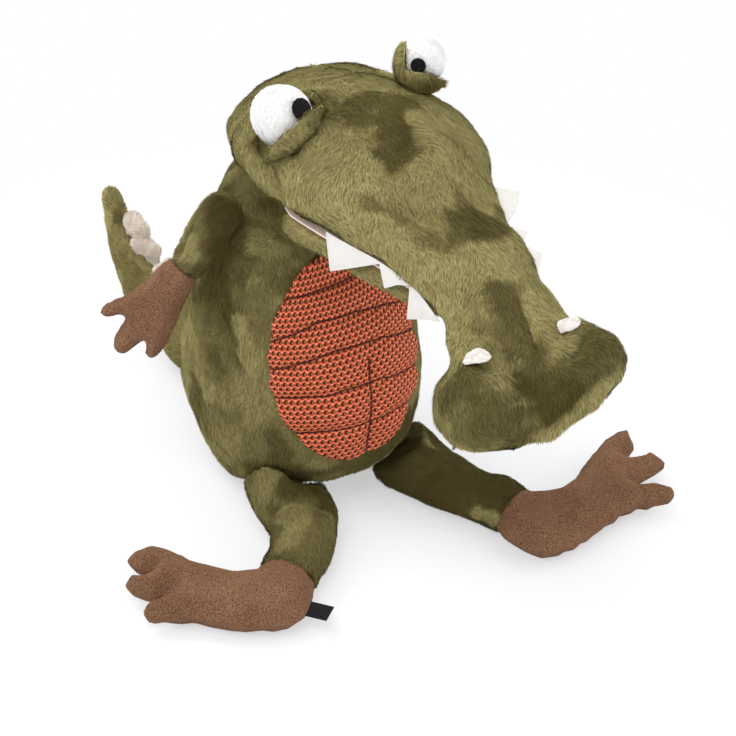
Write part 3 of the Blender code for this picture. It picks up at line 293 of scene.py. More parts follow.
def pileNodes():
    made, g, given = newTree("growPile", (
        ("Form", "Geometry"), ("Strands", "Float"), ("Length", "Float"), ("Width", "Float"),
        ("Lift", "Float"), ("Ruffle", "Float"), ("Bow", "Float"), ("Seed", "Int"),
        ("Finish", "Material")), "Strands")

    def named(name, kind="FLOAT"):
        return g.add("GeometryNodeInputNamedAttribute", {"Name": name}, {"data_type": kind})

    def chance(kind, low, high, seed):
        first = {"FLOAT_VECTOR": 0, "FLOAT": 2}[kind]
        return g.add("FunctionNodeRandomValue", {first: low, first + 1: high, "Seed": seed},
                     {"data_type": kind}, first // 2)

    def keep(shape, name, value, kind="FLOAT", domain="POINT"):
        return g.add("GeometryNodeStoreNamedAttribute", {"Geometry": shape, "Name": name, "Value": value},
                     {"data_type": kind, "domain": domain})

    cover = named("cover")
    roots = g.add("GeometryNodeDistributePointsOnFaces",
                  {"Mesh": given, "Density": given.out("Strands") * cover, "Seed": given.out("Seed")},
                  {"distribute_method": "RANDOM"})
    normal = roots.out("Normal")
    lift = given.out("Lift") * (1.0 - habit["crushed"] * named("tone"))
    lie = g.vector("ADD", named("flow", "FLOAT_VECTOR"), g.scaled(normal, lift))
    wild = g.scaled(chance("FLOAT_VECTOR", (-1.0, -1.0, -1.0), (1.0, 1.0, 1.0), 3), given.out("Ruffle"))
    turn = g.add("FunctionNodeAxesToRotation", {0: g.vector("ADD", lie, wild), 1: normal},
                 {"primary_axis": "Y", "secondary_axis": "Z"})
    blade = g.add("GeometryNodeMeshGrid", {"Size X": 1.0, "Size Y": 1.0, "Vertices X": 2, "Vertices Y": 2})
    corner = g.add("ShaderNodeSeparateXYZ", {0: g.add("GeometryNodeInputPosition")})
    along = (corner + corner.out(1)) * 0.5 + 0.5
    across = corner - corner.out(1)
    spot = g.add("ShaderNodeCombineXYZ", {0: across, 1: along})
    blade = keep(blade, "spot", spot, "FLOAT_VECTOR")
    shape = g.add("ShaderNodeCombineXYZ", {
        0: across * given.out("Width") * 0.5, 1: along * given.out("Length"),
        2: along * (1.0 - along) * 4.0 * given.out("Bow") * given.out("Length")})
    blade = g.add("GeometryNodeSetPosition", {"Geometry": blade, "Position": shape})
    points = keep(roots, "strand", chance("FLOAT", 0.0, 1.0, 5))
    lock = g.noise(habit["locks"], 1.0, where=g.add("GeometryNodeInputPosition"))
    points = keep(points, "lock", lock.fade(0.3, 0.7))
    shine = g.scaled(chance("FLOAT_VECTOR", (-1.0, -1.0, -1.0), (1.0, 1.0, 1.0), 9), habit["sway"])
    lay = g.vector("NORMALIZE", g.vector("ADD", normal, shine))
    points = keep(points, "lay", lay, "FLOAT_VECTOR")
    grown = g.add("GeometryNodeInstanceOnPoints", {
        "Points": points, "Instance": blade, "Rotation": turn,
        "Scale": chance("FLOAT", habit["shortest"], habit["longest"], 7)})
    grown = g.add("GeometryNodeRealizeInstances", {0: grown})
    count = g.add("GeometryNodeAttributeDomainSize", {0: grown}, {"component": "MESH"}, "Face Count")
    side = (count.math("SQRT", count) + 1.0).floor()
    own = (g.add("GeometryNodeInputIndex") * 0.25 + 0.01).floor()
    spot = g.add("ShaderNodeSeparateXYZ", {0: named("spot", "FLOAT_VECTOR")})
    cell = g.add("ShaderNodeCombineXYZ", {
        0: ((own % side) + 0.5 + spot * 0.4) / side,
        1: ((own / side).floor() + 0.1 + spot.out(1) * 0.8) / side})
    grown = keep(grown, "OFBake", cell, "FLOAT2", "CORNER")
    grown = g.add("GeometryNodeSetMaterial", {"Geometry": grown, "Material": given.out("Finish")})
    g.add("NodeGroupOutput", {0: grown})
    return made


growPile = pileNodes()


def linked(name, data):
    made = bpy.data.objects.new(name, data)
    bpy.context.scene.collection.objects.link(made)
    return made


def settled(piece):  # the piece's modifiers, applied
    bpy.context.view_layer.update()
    seen = piece.evaluated_get(bpy.context.evaluated_depsgraph_get())
    mesh = bpy.data.meshes.new_from_object(seen)
    piece.modifiers.clear()
    piece.data = mesh
    return piece


def runTree(piece, tree, values):
    step = piece.modifiers.new("tree", "NODES")
    step.node_group = tree
    names = {item.name: item.identifier for item in tree.interface.items_tree if item.in_out == "INPUT"}
    for key, value in values.items():
        step[names[key]] = value
    return settled(piece)


def strandsOf(*values):  # strands for each square mm, length and width in mm, and how they stand
    return dict(zip(("strands", "length", "width", "lift", "ruffle", "bow"), values))


def grow(base, name, strands, length, width, lift, ruffle, bow, seed, finish):
    piece = linked(name, base.data.copy())
    runTree(piece, growPile, {
        "Strands": strands * 1e6, "Length": length * mm, "Width": width * mm, "Lift": lift,
        "Ruffle": ruffle, "Bow": bow, "Seed": seed, "Finish": finishes[finish]})
    mesh = piece.data
    points = readPoints(mesh)
    points[:, 2] = np.maximum(points[:, 2], habit["floor"] * mm)  # pressed flat on the floor
    writePoints(mesh, points)
    lay = readRows(mesh.attributes["lay"].data, "vector")
    mesh.normals_split_custom_set_from_vertices(lay.tolist())  # a strand shades as the coat does
    mesh.attributes.remove(mesh.attributes["lay"])
    print(name, len(mesh.polygons), "strands")
    return piece


# Forms taken from the CAD pieces

def readRows(items, key):
    flat = np.empty(len(items) * 3)
    items.foreach_get(key, flat)
    return flat.reshape(-1, 3)


def readPoints(mesh):
    return readRows(mesh.vertices, "co")


def readNormals(mesh):
    return readRows(mesh.vertex_normals, "vector")


def writePoints(mesh, points):
    mesh.vertices.foreach_set("co", points.ravel())
    mesh.update()


def writeLayer(mesh, name, values):
    kind, key = ("FLOAT_VECTOR", "vector") if values.ndim == 2 else ("FLOAT", "value")
    layer = mesh.attributes.get(name) or mesh.attributes.new(name, kind, "POINT")
    layer.data.foreach_set(key, values.astype(np.float32).ravel())


def largestShell(mesh):
    shape = bmesh.new()
    shape.from_mesh(mesh)
    left, best = set(shape.verts), []
    while left:
        todo = [left.pop()]
        found = list(todo)
        while todo:
            for edge in todo.pop().link_edges:
                for vert in edge.verts:
                    if vert in left:
                        left.discard(vert)
                        todo.append(vert)
                        found.append(vert)
        if len(found) > len(best):
            best = found
    inside = set(best)
    bmesh.ops.delete(shape, geom=[v for v in shape.verts if v not in inside], context="VERTS")
    shape.to_mesh(mesh)
    shape.free()


def formTree(mesh):
    shape = bmesh.new()
    shape.from_mesh(mesh)
    tree = BVHTree.FromBMesh(shape)
    shape.free()
    return tree


def joined(name, nodes):  # the solids of those nodes in one mesh
    shape = bmesh.new()
    for node in nodes:
        shape.from_mesh(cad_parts[node].data)
    bmesh.ops.remove_doubles(shape, verts=shape.verts, dist=0.01 * mm)
    mesh = bpy.data.meshes.new(name)
    shape.to_mesh(mesh)
    shape.free()
    return linked(name, mesh)


def covered(piece, finish):
    piece.data.materials.clear()
    piece.data.materials.append(finishes[finish])
    piece.data.shade_smooth()
    return piece


def softForm(name, nodes, voxel, rounds, finish):  # a padded form: the outermost shell, smoothed
    piece = joined(name, nodes)
    skin = piece.modifiers.new("skin", "REMESH")
    skin.mode, skin.voxel_size = "VOXEL", voxel * mm
    soften = piece.modifiers.new("soften", "SMOOTH")
    soften.factor, soften.iterations = 0.5, rounds
    settled(piece)
    largestShell(piece.data)
    return covered(piece, finish)


def softEdged(name, node, width, finish):  # a flat piece with eased edges
    piece = joined(name, (node,))
    ease = piece.modifiers.new("ease", "BEVEL")
    ease.width, ease.segments, ease.limit_method, ease.angle_limit = width * mm, 2, "ANGLE", radians(35)
    covered(settled(piece), finish)
    piece.data.set_sharp_from_angle(angle=radians(40))
    return piece


def lineDistance(points, line):
    line = np.array(line, float) * mm
    best = np.linalg.norm(points - line[0], axis=1)
    for a, b in zip(line[:-1], line[1:]):
        run = b - a
        t = np.clip((points - a) @ run / max(run @ run, 1e-12), 0, 1)
        best = np.minimum(best, np.linalg.norm(points - a - t[:, None] * run, axis=1))
    return best


def waves(points, size, seed, count=8):  # a soft, fixed unevenness of that size in mm
    dice = np.random.default_rng(seed)
    total = np.zeros(len(points))
    for _ in range(count):
        heading = unit(dice.normal(size=3))
        total += np.sin(points @ heading * (2 * pi / (size * mm)) * dice.uniform(0.6, 1.5)
                        + dice.uniform(0, 2 * pi))
    return total / sqrt(count / 2)


def unit(vector):
    return np.array(vector) / np.linalg.norm(vector)


def bell(far, width=1):
    return np.exp(-(far / width) ** 2)


def smooth(value, low, high):
    t = np.clip((value - low) / (high - low), 0, 1)
    return t * t * (3 - 2 * t)


cloth = {
    "bank": 0.35, "bankPlace": 2.2,  # the raised sides of a crease, as shares of its depth and width
    "wave": 38, "ripple": 16, "whorl": 45, "curl": 11, "cloud": 60, "puff": 18, "ragged": 13, "frayed": 5,
    "spotFull": 0.5, "spotGone": 1.35, "creaseShade": 4, "darkestCrease": 0.9, "bareFloor": 1.2,
}


def shapeCloth(piece, creases=(), swells=(), sink=0.0, unevenness=0.0, seed=1):
    mesh = piece.data
    points, normals = readPoints(mesh), readNormals(mesh)
    move = np.full(len(points), -sink)
    for line, depth, width in creases:
        far = lineDistance(points, line) / (width * mm)
        move -= depth * (bell(far) - cloth["bank"] * bell(far - cloth["bankPlace"]))
    for x, y, z, radius, height in swells:
        far = lineDistance(points, ((x, y, z),)) / (radius * mm)
        move += height * bell(far)
    if unevenness:
        move += unevenness * waves(points, cloth["wave"], seed)
        move += 0.4 * unevenness * waves(points, cloth["ripple"], seed + 1)
    writePoints(mesh, points + normals * move[:, None] * mm)


def pull(piece, pulls):  # parts of the cloth drawn aside: place, radius, and how far in mm
    points = readPoints(piece.data)
    for x, y, z, radius, *draw in pulls:
        far = lineDistance(points, ((x, y, z),)) / (radius * mm)
        points += bell(far)[:, None] * np.array(draw) * mm
    writePoints(piece.data, points)


def brush(piece, heading, spots=(), swirl=0.3, mottle=0.35, shade=0.0, seed=1, creases=(), bare=None):
    # flow is where the strands lie, and cover is where they grow
    # tone is where they are crushed dark, by mottle at random and by painted shade; below 0 it lightens them,
    # by mottle and by painted highlight
    mesh = piece.data
    points, normals = readPoints(mesh), readNormals(mesh)
    flow = np.array(heading(points) if callable(heading) else np.tile(heading, (len(points), 1)), float)
    flow /= np.linalg.norm(flow, axis=1)[:, None]
    flow += swirl * np.stack([
        waves(points, cloth["whorl"], seed + k) + 0.35 * waves(points, cloth["curl"], seed + k + 3)
        for k in (10, 11, 12)], axis=1)
    flow -= normals * (flow * normals).sum(1)[:, None]
    flow /= np.maximum(np.linalg.norm(flow, axis=1), 1e-6)[:, None]
    cloud = waves(points, cloth["cloud"], seed + 20) + 0.35 * waves(points, cloth["puff"], seed + 21)
    # shade is painted shade over the whole piece, lighter below 0; mottle is a random cloud of darker and
    # lighter pile
    tone = shade + mottle * (smooth(cloud, 0.6, 1.4) - 0.7 * smooth(-cloud, 0.6, 1.4))
    ragged = 0.14 * waves(points, cloth["ragged"], seed + 22)
    ragged += 0.07 * waves(points, cloth["frayed"], seed + 23)
    # spots paint shade in patches, and painted highlight where their strength is below 0
    for strength, radius, line in spots:
        far = lineDistance(points, line) / (radius * mm) + ragged
        near = 1 - smooth(far, cloth["spotFull"], cloth["spotGone"])
        tone = tone * (1 - near) + strength * near
    # painted shade along the creases
    for line, depth, width in creases:
        near = bell(lineDistance(points, line), width * mm)
        tone = np.maximum(tone, min(depth / cloth["creaseShade"], cloth["darkestCrease"]) * near)
    writeLayer(mesh, "flow", flow)
    writeLayer(mesh, "tone", np.clip(tone, -1, 1))
    cover = np.ones(len(points)) if bare is None else bare(points, normals)
    above = points[:, 2] > cloth["bareFloor"] * mm  # nothing grows where the cloth rests on the floor
    writeLayer(mesh, "cover", cover * above)


def place(piece, body, nodes=()):
    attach(piece, body)
    if nodes:
        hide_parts(*nodes)


def makeCoat(name, nodes, body, style, heading, bare=None):  # pile cloth in the shape of its nodes
    creases = style.get("creases", ())
    coat = softForm(name, nodes, style["voxel"], style["rounds"], "backing")
    pull(coat, style.get("pulls", ()))
    shapeCloth(coat, creases, style.get("swells", ()), style["sink"], style["unevenness"], style["seed"])
    brush(coat, heading, style.get("spots", ()), mottle=style["mottle"], shade=style["shade"],
          seed=style["seed"], creases=creases, bare=bare)
    for k in range(style["naps"]):
        nap = grow(coat, "%s_nap_%d" % (name, k + 1), seed=11 + k, finish="pile", **style["pile"])
        place(nap, body)
    place(coat, body, nodes)


# Body

bodyStyle = {
    # shade is painted shade over the whole coat
    "voxel": 2.4, "rounds": 8, "sink": 0.9, "unevenness": 0.7, "seed": 3, "shade": 0.5, "mottle": 0.25,
    "naps": 4, "fill": 0.7, "heading": (-0.15, -0.2, -1.0), "panelBelow": 3, "panelReach": 9,
    "creases": (
        (((-28, -28, 198), (-36, -24, 202), (-44, -19, 205)), 4.5, 4),
        (((-29, -40, 182), (-38, -32, 186), (-46, -22, 188)), 5.0, 6),
        (((-63, 15, 53), (-64, 4, 49), (-63, -6, 41), (-60, -19, 33), (-56, -25, 27)), 1.6, 2.5),
        (((-30, -42, 172), (-40, -36, 170), (-50, -26, 166)), 2.8, 5),
        (((40, -36, 185), (48, -24, 184)), 2.5, 6),
    ),
    "swells": ((-52, 0, 199, 13, 5.5), (-44, 14, 205, 14, 2.5), (-62, 20, 110, 40, 1.0),
        (-58, 44, 50, 26, 2.0)),
    # patches of tone: crushed pile and painted shade, deepest under the head, between the arm and the body
    # and along the bottom; below 0 painted highlight on the sides and back
    "spots": (
        (0.75, 24, ((-42, -28, 196), (-48, -24, 170), (-54, -18, 140))),
        (0.6, 9, ((-36, -5, 209), (-34, -21, 211), (-39, -5, 199))),
        (0.6, 9, ((-40, -19, 197), (-38, -26, 192))),
        (0.7, 8, ((-37, -27, 195), (-33, -34, 191), (-28, -40, 184), (-24, -45, 178), (-18, -49, 173))),
        (0.7, 8, ((-39, -31, 186), (-35, -37, 179), (-29, -44, 174), (-23, -50, 167))),
        (0.4, 8, ((-43, -26, 181), (-38, -34, 179), (-34, -38, 177))),
        (0.55, 4, ((-48, -25, 165), (-42, -35, 167), (-33, -42, 170), (-26, -47, 170))),
        (0.35, 6, ((-46, -34, 158), (-41, -41, 158))), (0.7, 7, ((-36, -44, 160), (-30, -48, 163))),
        (0.95, 11, ((-46, 2, 192), (-47, -8, 187), (-49, -14, 181), (-52, -12, 172), (-53, -7, 165),
            (-56, -2, 150))),
        (0.9, 10, ((-58, -5, 139), (-57, -14, 137), (-58, -21, 129), (-57, -25, 121), (-56, -33, 114))),
        (0.7, 8, ((-60, -5, 127), (-60, -13, 121), (-60, -21, 112))),
        (0.6, 6, ((-53, -24, 148), (-50, -34, 146))), (-0.35, 12, ((-60, 34, 80), (-60, 40, 55))),
        (0.85, 12, ((22, -73, 50), (32, -67, 53), (43, -57, 54), (14, -74, 45))),
        (0.6, 6, ((-62, -3, 113), (-58, -24, 117))),
        (0.55, 7, ((-50, -34, 146), (-44, -39, 153), (-47, -39, 142))),
        (0.5, 5, ((-62, -18, 66), (-61, -23, 62), (-59, -29, 72))),
        (0.75, 6, ((-54, -34, 37), (-50, -44, 41), (-42, -58, 44), (-25, -68, 42), (-13, -75, 44))),
        (-0.25, 11, ((-60, 27, 95), (-63, 16, 81), (-64, 0, 77))),
        (0.15, 7, ((-54, -40, 111), (-54, -30, 132))),
        (0.6, 10, ((40, -30, 178), (50, -10, 182))), (-0.3, 14, ((55, 10, 120), (58, 20, 90))),
        (0.6, 13, ((40, 45, 140), (30, 55, 120))),
        (0.5, 14, ((-45, 45, 110), (-30, 62, 70))), (-0.3, 15, ((0, 62, 150), (0, 66, 120))),
    ),
    "pile": strandsOf(0.9, 4.4, 0.44, 0.2, 0.14, 0.08),
}


def makeBody():
    panel = formTree(bpy.data.objects["belly_mesh"].data)

    def bare(points, normals):  # nothing grows under the belly panel
        start = points - normals * bodyStyle["panelBelow"] * mm
        reach = bodyStyle["panelReach"] * mm
        found = [panel.ray_cast(Vector(p), Vector(n), reach)[0] for p, n in zip(start, normals)]
        return np.array([hit is None for hit in found], float)

    makeCoat("body_coat", ("body_skin", "body_stuffing"), "torso", bodyStyle, bodyStyle["heading"], bare)


# Belly panel

bellyStyle = {
    "seams": (
        ((-50, -44, 143), (-37, -48, 151), (-18, -57, 157), (2, -58, 161), (14, -57, 160), (30, -50, 158),
            (44, -40, 155)),
        ((-52, -46, 124), (-33, -59, 135), (-22, -63, 141), (-1, -66, 143), (16, -65, 141), (31, -60, 136),
            (48, -48, 130)),
        ((-52, -50, 109), (-32, -65, 119), (-17, -71, 125), (-6, -73, 126), (12, -72, 125), (33, -64, 118),
            (48, -54, 112)),
        ((-50, -58, 94), (-34, -68, 98), (-24, -75, 99), (-14, -78, 102), (-4, -80, 103), (8, -80, 103),
            (22, -76, 99), (46, -62, 94)),
        ((-40, -66, 73), (-25, -75, 76), (-17, -79, 76), (-1, -82, 78), (14, -80, 78), (24, -76, 77),
            (40, -64, 75)),
    ),
    "dart": ((1, -76, 117), (0, -80, 103), (0, -82, 91), (-1, -82, 78), (-2, -80, 50)),
    "voxel": 1.0, "rounds": 2, "axis": 4, "girth": 66, "turn": 2.6, "middle": 90, "squash": 0.975,
    "rise": 1.0, "bulge": 2.2, "seamWidth": 5.5, "groove": 1.0, "grooveWidth": 1.3, "pucker": 0.22,
    "puckerWidth": 3.5, "ripple": 0.25, "climb": 1.04, "slant": 0.16, "threadWidth": 0.9,
    "steps": 8, "before": 30, "reach": 45, "clear": 0.1,  # how stitches are laid on the cloth
    "stitch": {"Spacing": 1.9, "Length": 1.5, "Radius": 0.22},
}


def spread(points):  # the belly laid out flat: round the body, and up, in mm
    points = np.asarray(points, float)
    turn = np.arctan2(points[:, 0], -points[:, 1] - bellyStyle["axis"] * mm)
    return np.stack([turn * bellyStyle["girth"], np.zeros(len(points)), points[:, 2] / mm], axis=1)


def stitchNodes():
    made, g, given = newTree("sewStitches", (
        ("Line", "Geometry"), ("Spacing", "Float"), ("Length", "Float"), ("Radius", "Float"),
        ("Finish", "Material")), "Stitches")
    line = g.add("GeometryNodeMeshToCurve", {0: given})
    spots = g.add("GeometryNodeCurveToPoints", {"Curve": line, "Length": given.out("Spacing")},
                  {"mode": "LENGTH"})
    stitch = g.add("GeometryNodeMeshCylinder", {
        "Vertices": 6, "Side Segments": 2, "Radius": given.out("Radius"), "Depth": given.out("Length")})
    sewn = g.add("GeometryNodeInstanceOnPoints", {
        "Points": spots, "Instance": stitch, "Rotation": spots.out("Rotation")})
    sewn = g.add("GeometryNodeRealizeInstances", {0: sewn})
    sewn = g.add("GeometryNodeSetMaterial", {"Geometry": sewn, "Material": given.out("Finish")})
    g.add("NodeGroupOutput", {0: sewn})
    return made


def sew(name, base, lines):  # stitches along lines that are laid on the cloth
    tree = formTree(base.data)
    verts, edges = [], []
    for line in lines:
        steps = [Vector(p) * mm for p in line]
        last = None
        for a, b in zip(steps[:-1], steps[1:]):
            for k in range(bellyStyle["steps"]):
                start = a.lerp(b, k / bellyStyle["steps"])
                start.y -= bellyStyle["before"] * mm
                found = tree.ray_cast(start, Vector((0, 1, 0)), bellyStyle["reach"] * mm)
                if found[0] is None:
                    last = None
                    continue
                verts.append(found[0] + found[1] * bellyStyle["clear"] * mm)
                if last is not None:
                    edges.append((last, len(verts) - 1))
                last = len(verts) - 1
    mesh = bpy.data.meshes.new(name)
    mesh.from_pydata(verts, edges, [])
    wanted = {key: value * mm for key, value in bellyStyle["stitch"].items()}
    return runTree(linked(name, mesh), stitchNodes(), {**wanted, "Finish": finishes["stitch"]})


def makeBelly():
    style, lines = bellyStyle, bellyStyle["seams"] + (bellyStyle["dart"],)
    panel = softForm("belly_mesh", ("belly_panel",), style["voxel"], style["rounds"], "mesh")
    mesh = panel.data
    points, turn, axis = readPoints(mesh), style["turn"] / style["girth"], style["axis"] * mm
    away = points[:, :2] - (0, axis)
    points[:, 0] = away[:, 0] * np.cos(turn) + away[:, 1] * np.sin(turn)
    points[:, 1] = away[:, 1] * np.cos(turn) - away[:, 0] * np.sin(turn) + axis
    middle = style["middle"] * mm
    points[:, 2] = middle + (points[:, 2] - middle) * style["squash"] + style["rise"] * mm
    writePoints(mesh, points)
    normals, flat = readNormals(mesh), spread(points)
    outward = smooth(-normals[:, 1], -0.2, 0.3)
    near = np.full(len(points), 1e9)
    for line in lines:
        near = np.minimum(near, lineDistance(flat, spread(np.array(line) * mm) / mm))
    swell = style["bulge"] * (1 - bell(near, style["seamWidth"]))
    swell -= style["groove"] * bell(near, style["grooveWidth"])
    pucker = style["pucker"] * np.sin(flat[:, 0] * 1.1 + 2 * np.sin(flat[:, 2] * 0.2))
    pucker *= bell(near, style["puckerWidth"])
    move = outward * (swell + pucker + style["ripple"] * waves(points, 20, 5))
    writePoints(mesh, points + normals * move[:, None] * mm)
    across = flat[:, 0]
    up = flat[:, 2] * style["climb"] - across * style["slant"]
    writeLayer(mesh, "knit", np.stack([across, up, bell(near, style["threadWidth"])], axis=1))
    place(panel, "torso", ("belly_panel",))
    thread = sew("belly_stitches", panel, lines)
    place(thread, "torso")


# Head

headStyle = {
    # shade is painted shade over the whole coat
    "voxel": 2.4, "rounds": 8, "sink": 1.5, "unevenness": 0.8, "seed": 7, "shade": 0.22, "mottle": 0.35,
    "naps": 4, "fill": 0.7, "snoutStart": 0.14, "snoutEnd": 0.23,  # metres ahead of the seat's middle
    "creases": (
        (((-50, -55, 258), (-56, -73, 257), (-59, -79, 253), (-60, -84, 249), (-61, -88, 244)), 4.0, 5),
        (((-56, -76, 257), (-51, -84, 262), (-38, -82, 263), (-27, -70, 264), (-22, -64, 272)), 3.0, 4),
        (((-19, -74, 277), (-7, -67, 279), (3, -65, 279), (14, -68, 279)), 2.2, 5),
        (((13, -211, 233), (7, -221, 229), (4, -233, 222), (2, -242, 218), (4, -250, 214), (18, -251, 215),
            (26, -247, 220), (28, -241, 222)), 2.6, 2.6),
        (((-24, -240, 219), (-19, -243, 217), (-15, -247, 214), (-13, -253, 211), (-11, -259, 205),
            (-12, -263, 201), (-14, -267, 196), (-15, -267, 188)), 4.0, 4.5),
        (((-13, -267, 188), (-6, -267, 191), (0, -267, 195), (13, -264, 200), (26, -261, 204),
            (40, -257, 207)), 1.6, 2.6),
        (((13, -98, 277), (7, -109, 275), (2, -119, 272), (-6, -130, 268)), 1.2, 3.5),
    ),
    "pulls": (
        (38, -144, 248, 27, -10, 0, 0), (28, -190, 236, 14, 2, 0, 0), (26, -214, 226, 13, 3, 0, 0),
        (39, -257, 208, 14, 3, -1.5, 0), (38, -240, 219, 8, -1, -1.5, -2.8), (29, -231, 225, 9, 0.9, 1.5, 3),
        (14, -256, 178, 15, 1.8, 3, 6.5), (30, -262, 190, 13, 0.2, 0.3, 1.0),
        (-24, -262, 186, 10, -0.8, -1.2, -2.5),
    ),
    "swells": ((12, -256, 200, 15, 3.5), (-8, -128, 268, 22, 1.5), (24, -130, 262, 18, 2.0),
        (-40, -120, 255, 22, 1.5)),
    # patches of tone: crushed pile and painted shade round the eyes, on the snout and on the nose lobe; below
    # 0 painted highlight on the top and sides of the head and along the snout
    "spots": (
        (0.7, 4, ((-18, -59, 276), (-14, -70, 277), (-3, -67, 279), (11, -65, 277), (23, -64, 275))),
        (0.8, 10, ((-24, -85, 274), (-13, -78, 278), (-6, -84, 278), (4, -82, 279), (10, -91, 277),
            (20, -86, 275))),
        (0.8, 9, ((-9, -93, 277), (0, -98, 277))),
        (0.3, 7, ((-26, -87, 273), (-37, -86, 273))), (0.4, 7, ((-26, -102, 272), (-16, -106, 274))),
        (-0.5, 13, ((-54, -90, 256), (-54, -106, 252), (-46, -124, 254))),
        (-0.4, 11, ((-32, -119, 264), (-44, -98, 263))),
        (0.9, 9, ((-6, -108, 275), (2, -106, 275), (-2, -119, 272))),
        (0.85, 7, ((-13, -120, 271), (-8, -126, 270), (-14, -129, 267))),
        (0.4, 12, ((-15, -158, 256), (-10, -170, 252), (-24, -150, 257))),
        (0.6, 7, ((-32, -140, 257), (-30, -151, 254), (-27, -160, 252), (-23, -169, 250), (-19, -177, 247),
            (-16, -185, 245))),
        (0.9, 9, ((11, -164, 255), (13, -171, 252), (2, -169, 254), (15, -177, 249), (2, -178, 250))),
        (0.8, 8, ((19, -164, 253), (21, -177, 247))), (0.75, 7, ((-8, -181, 249), (-4, -178, 250))),
        (-0.6, 12, ((-15, -33, 273), (-3, -32, 275), (6, -43, 276), (10, -58, 277))),
        (-0.7, 9, ((19, -101, 274), (17, -114, 272), (33, -107, 268), (27, -127, 264), (24, -141, 260),
            (22, -155, 255))),
        (-0.3, 9, ((-25, -187, 240), (-17, -193, 241), (-4, -189, 246), (6, -191, 244), (6, -200, 240))),
        (-0.7, 6, ((16, -213, 231), (15, -224, 225), (17, -235, 219), (14, -243, 216))),
        (0.75, 8, ((1, -210, 236), (2, -217, 231), (-1, -227, 226), (-4, -236, 221), (-3, -244, 217))),
        (0.7, 6, ((-8, -229, 224), (-10, -238, 219))),
        (0.6, 5, ((-18, -218, 227), (-20, -225, 223), (-17, -230, 222))),
        (0.76, 18, ((-40, -253, 209), (-31, -262, 200))),
        (0.75, 8, ((-49, -237, 205), (-45, -240, 211), (-40, -241, 214), (-34, -240, 217))),
        (0.6, 7, ((-48, -250, 204), (-50, -249, 192))),
        (0.75, 11, ((-6, -256, 208), (2, -259, 205), (12, -258, 208), (24, -254, 212), (34, -249, 216),
            (44, -240, 216))),
        (0.95, 7, ((-13, -250, 212), (-6, -260, 205), (-6, -264, 200), (2, -262, 203), (9, -261, 205))),
        (-0.6, 6, ((42, -254, 203), (30, -260, 200), (18, -265, 194), (6, -267, 190), (-5, -267, 185))),
        (0.6, 4, ((-48, -85, 270), (-56, -78, 262))), (-0.4, 16, ((-30, -190, 232), (-44, -150, 240))),
        (-0.9, 15, ((-54, -30, 251), (-44, -19, 256), (-27, -2, 258), (-2, -1, 262), (18, -18, 268),
            (22, -41, 273))),
        (-0.8, 9, ((47, -73, 263), (50, -89, 260), (46, -110, 259), (39, -131, 257), (33, -149, 253))),
    ),
    "pile": strandsOf(0.88, 4.4, 0.43, 0.18, 0.13, 0.08),
}


def headHeading(points):
    turn = np.zeros_like(points)
    down = smooth(-points[:, 1], headStyle["snoutStart"], headStyle["snoutEnd"])
    turn[:, 1] = -1.0
    turn[:, 2] = -0.25 - 0.8 * down
    turn[:, 0] = np.sign(points[:, 0]) * 0.2 - 0.15
    return turn


def makeHead():
    makeCoat("head_coat", ("head_skin", "head_stuffing"), "head", headStyle, headHeading)


# Lower jaw and mouth

jawStyle = {
    "voxel": 1.6, "rounds": 5, "sink": 0.7, "unevenness": 0.3, "seed": 13, "shade": -0.1, "mottle": 0.2,
    "naps": 1, "fill": 0.3, "heading": (0.0, -1.0, -0.2), "lined": 0.75, "edge": 0.3,
    "pile": strandsOf(2.2, 3.6, 0.5, 0.28, 0.15, 0.1),
    "felts": (("palate_felt", "palate_lining", "head", 0.0098), ("tongue_felt", "jaw_lining", "jaw", 0.009)),
}


def makeMouth():
    def bare(points, normals):  # nothing grows under the felt
        return (normals[:, 2] < jawStyle["lined"]).astype(float)

    makeCoat("jaw_coat", ("lower_jaw",), "jaw", jawStyle, jawStyle["heading"], bare)
    for name, node, body, area in jawStyle["felts"]:
        felt = softEdged(name, node, jawStyle["edge"], "blush")
        place(felt, body, (node,))


# Teeth and nostrils

teethStyle = {"areas": {"right": 0.00087, "left": 0.00085}, "edge": 0.25, "sewn": 1.0, "free": 8.0}


def makeTeeth():
    head = formTree(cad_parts["head_skin"].data)
    for word, area in teethStyle["areas"].items():
        strip = softEdged("teeth_felt_" + word, "teeth_" + word, teethStyle["edge"], "whiteFelt")
        before = readPoints(strip.data)
        pull(strip, headStyle["pulls"])
        after = readPoints(strip.data)
        far = np.array([head.find_nearest(Vector(p))[3] for p in before]) / mm
        loose = smooth(far, teethStyle["sewn"], teethStyle["free"])[:, None]
        writePoints(strip.data, after + (before - after) * loose)  # only the sewn edge follows the coat
        place(strip, "head", ("teeth_" + word,))


nostrilStyle = {
    "right": {"tail": (-0.9, 0.1, -0.45), "stretch": 0.5},
    "left": {"tail": (-0.7, 0.6, 0.2), "stretch": 0.0},
    "voxel": 0.45, "rounds": 4, "radius": 5.5, "plump": 1.12, "raise": 2.2, "out": (-0.4, -1.1, 0.55),
    "folds": 9, "foldDepth": 0.16, "pit": 0.5, "pitWidth": 0.22, "fill": 0.5,
}


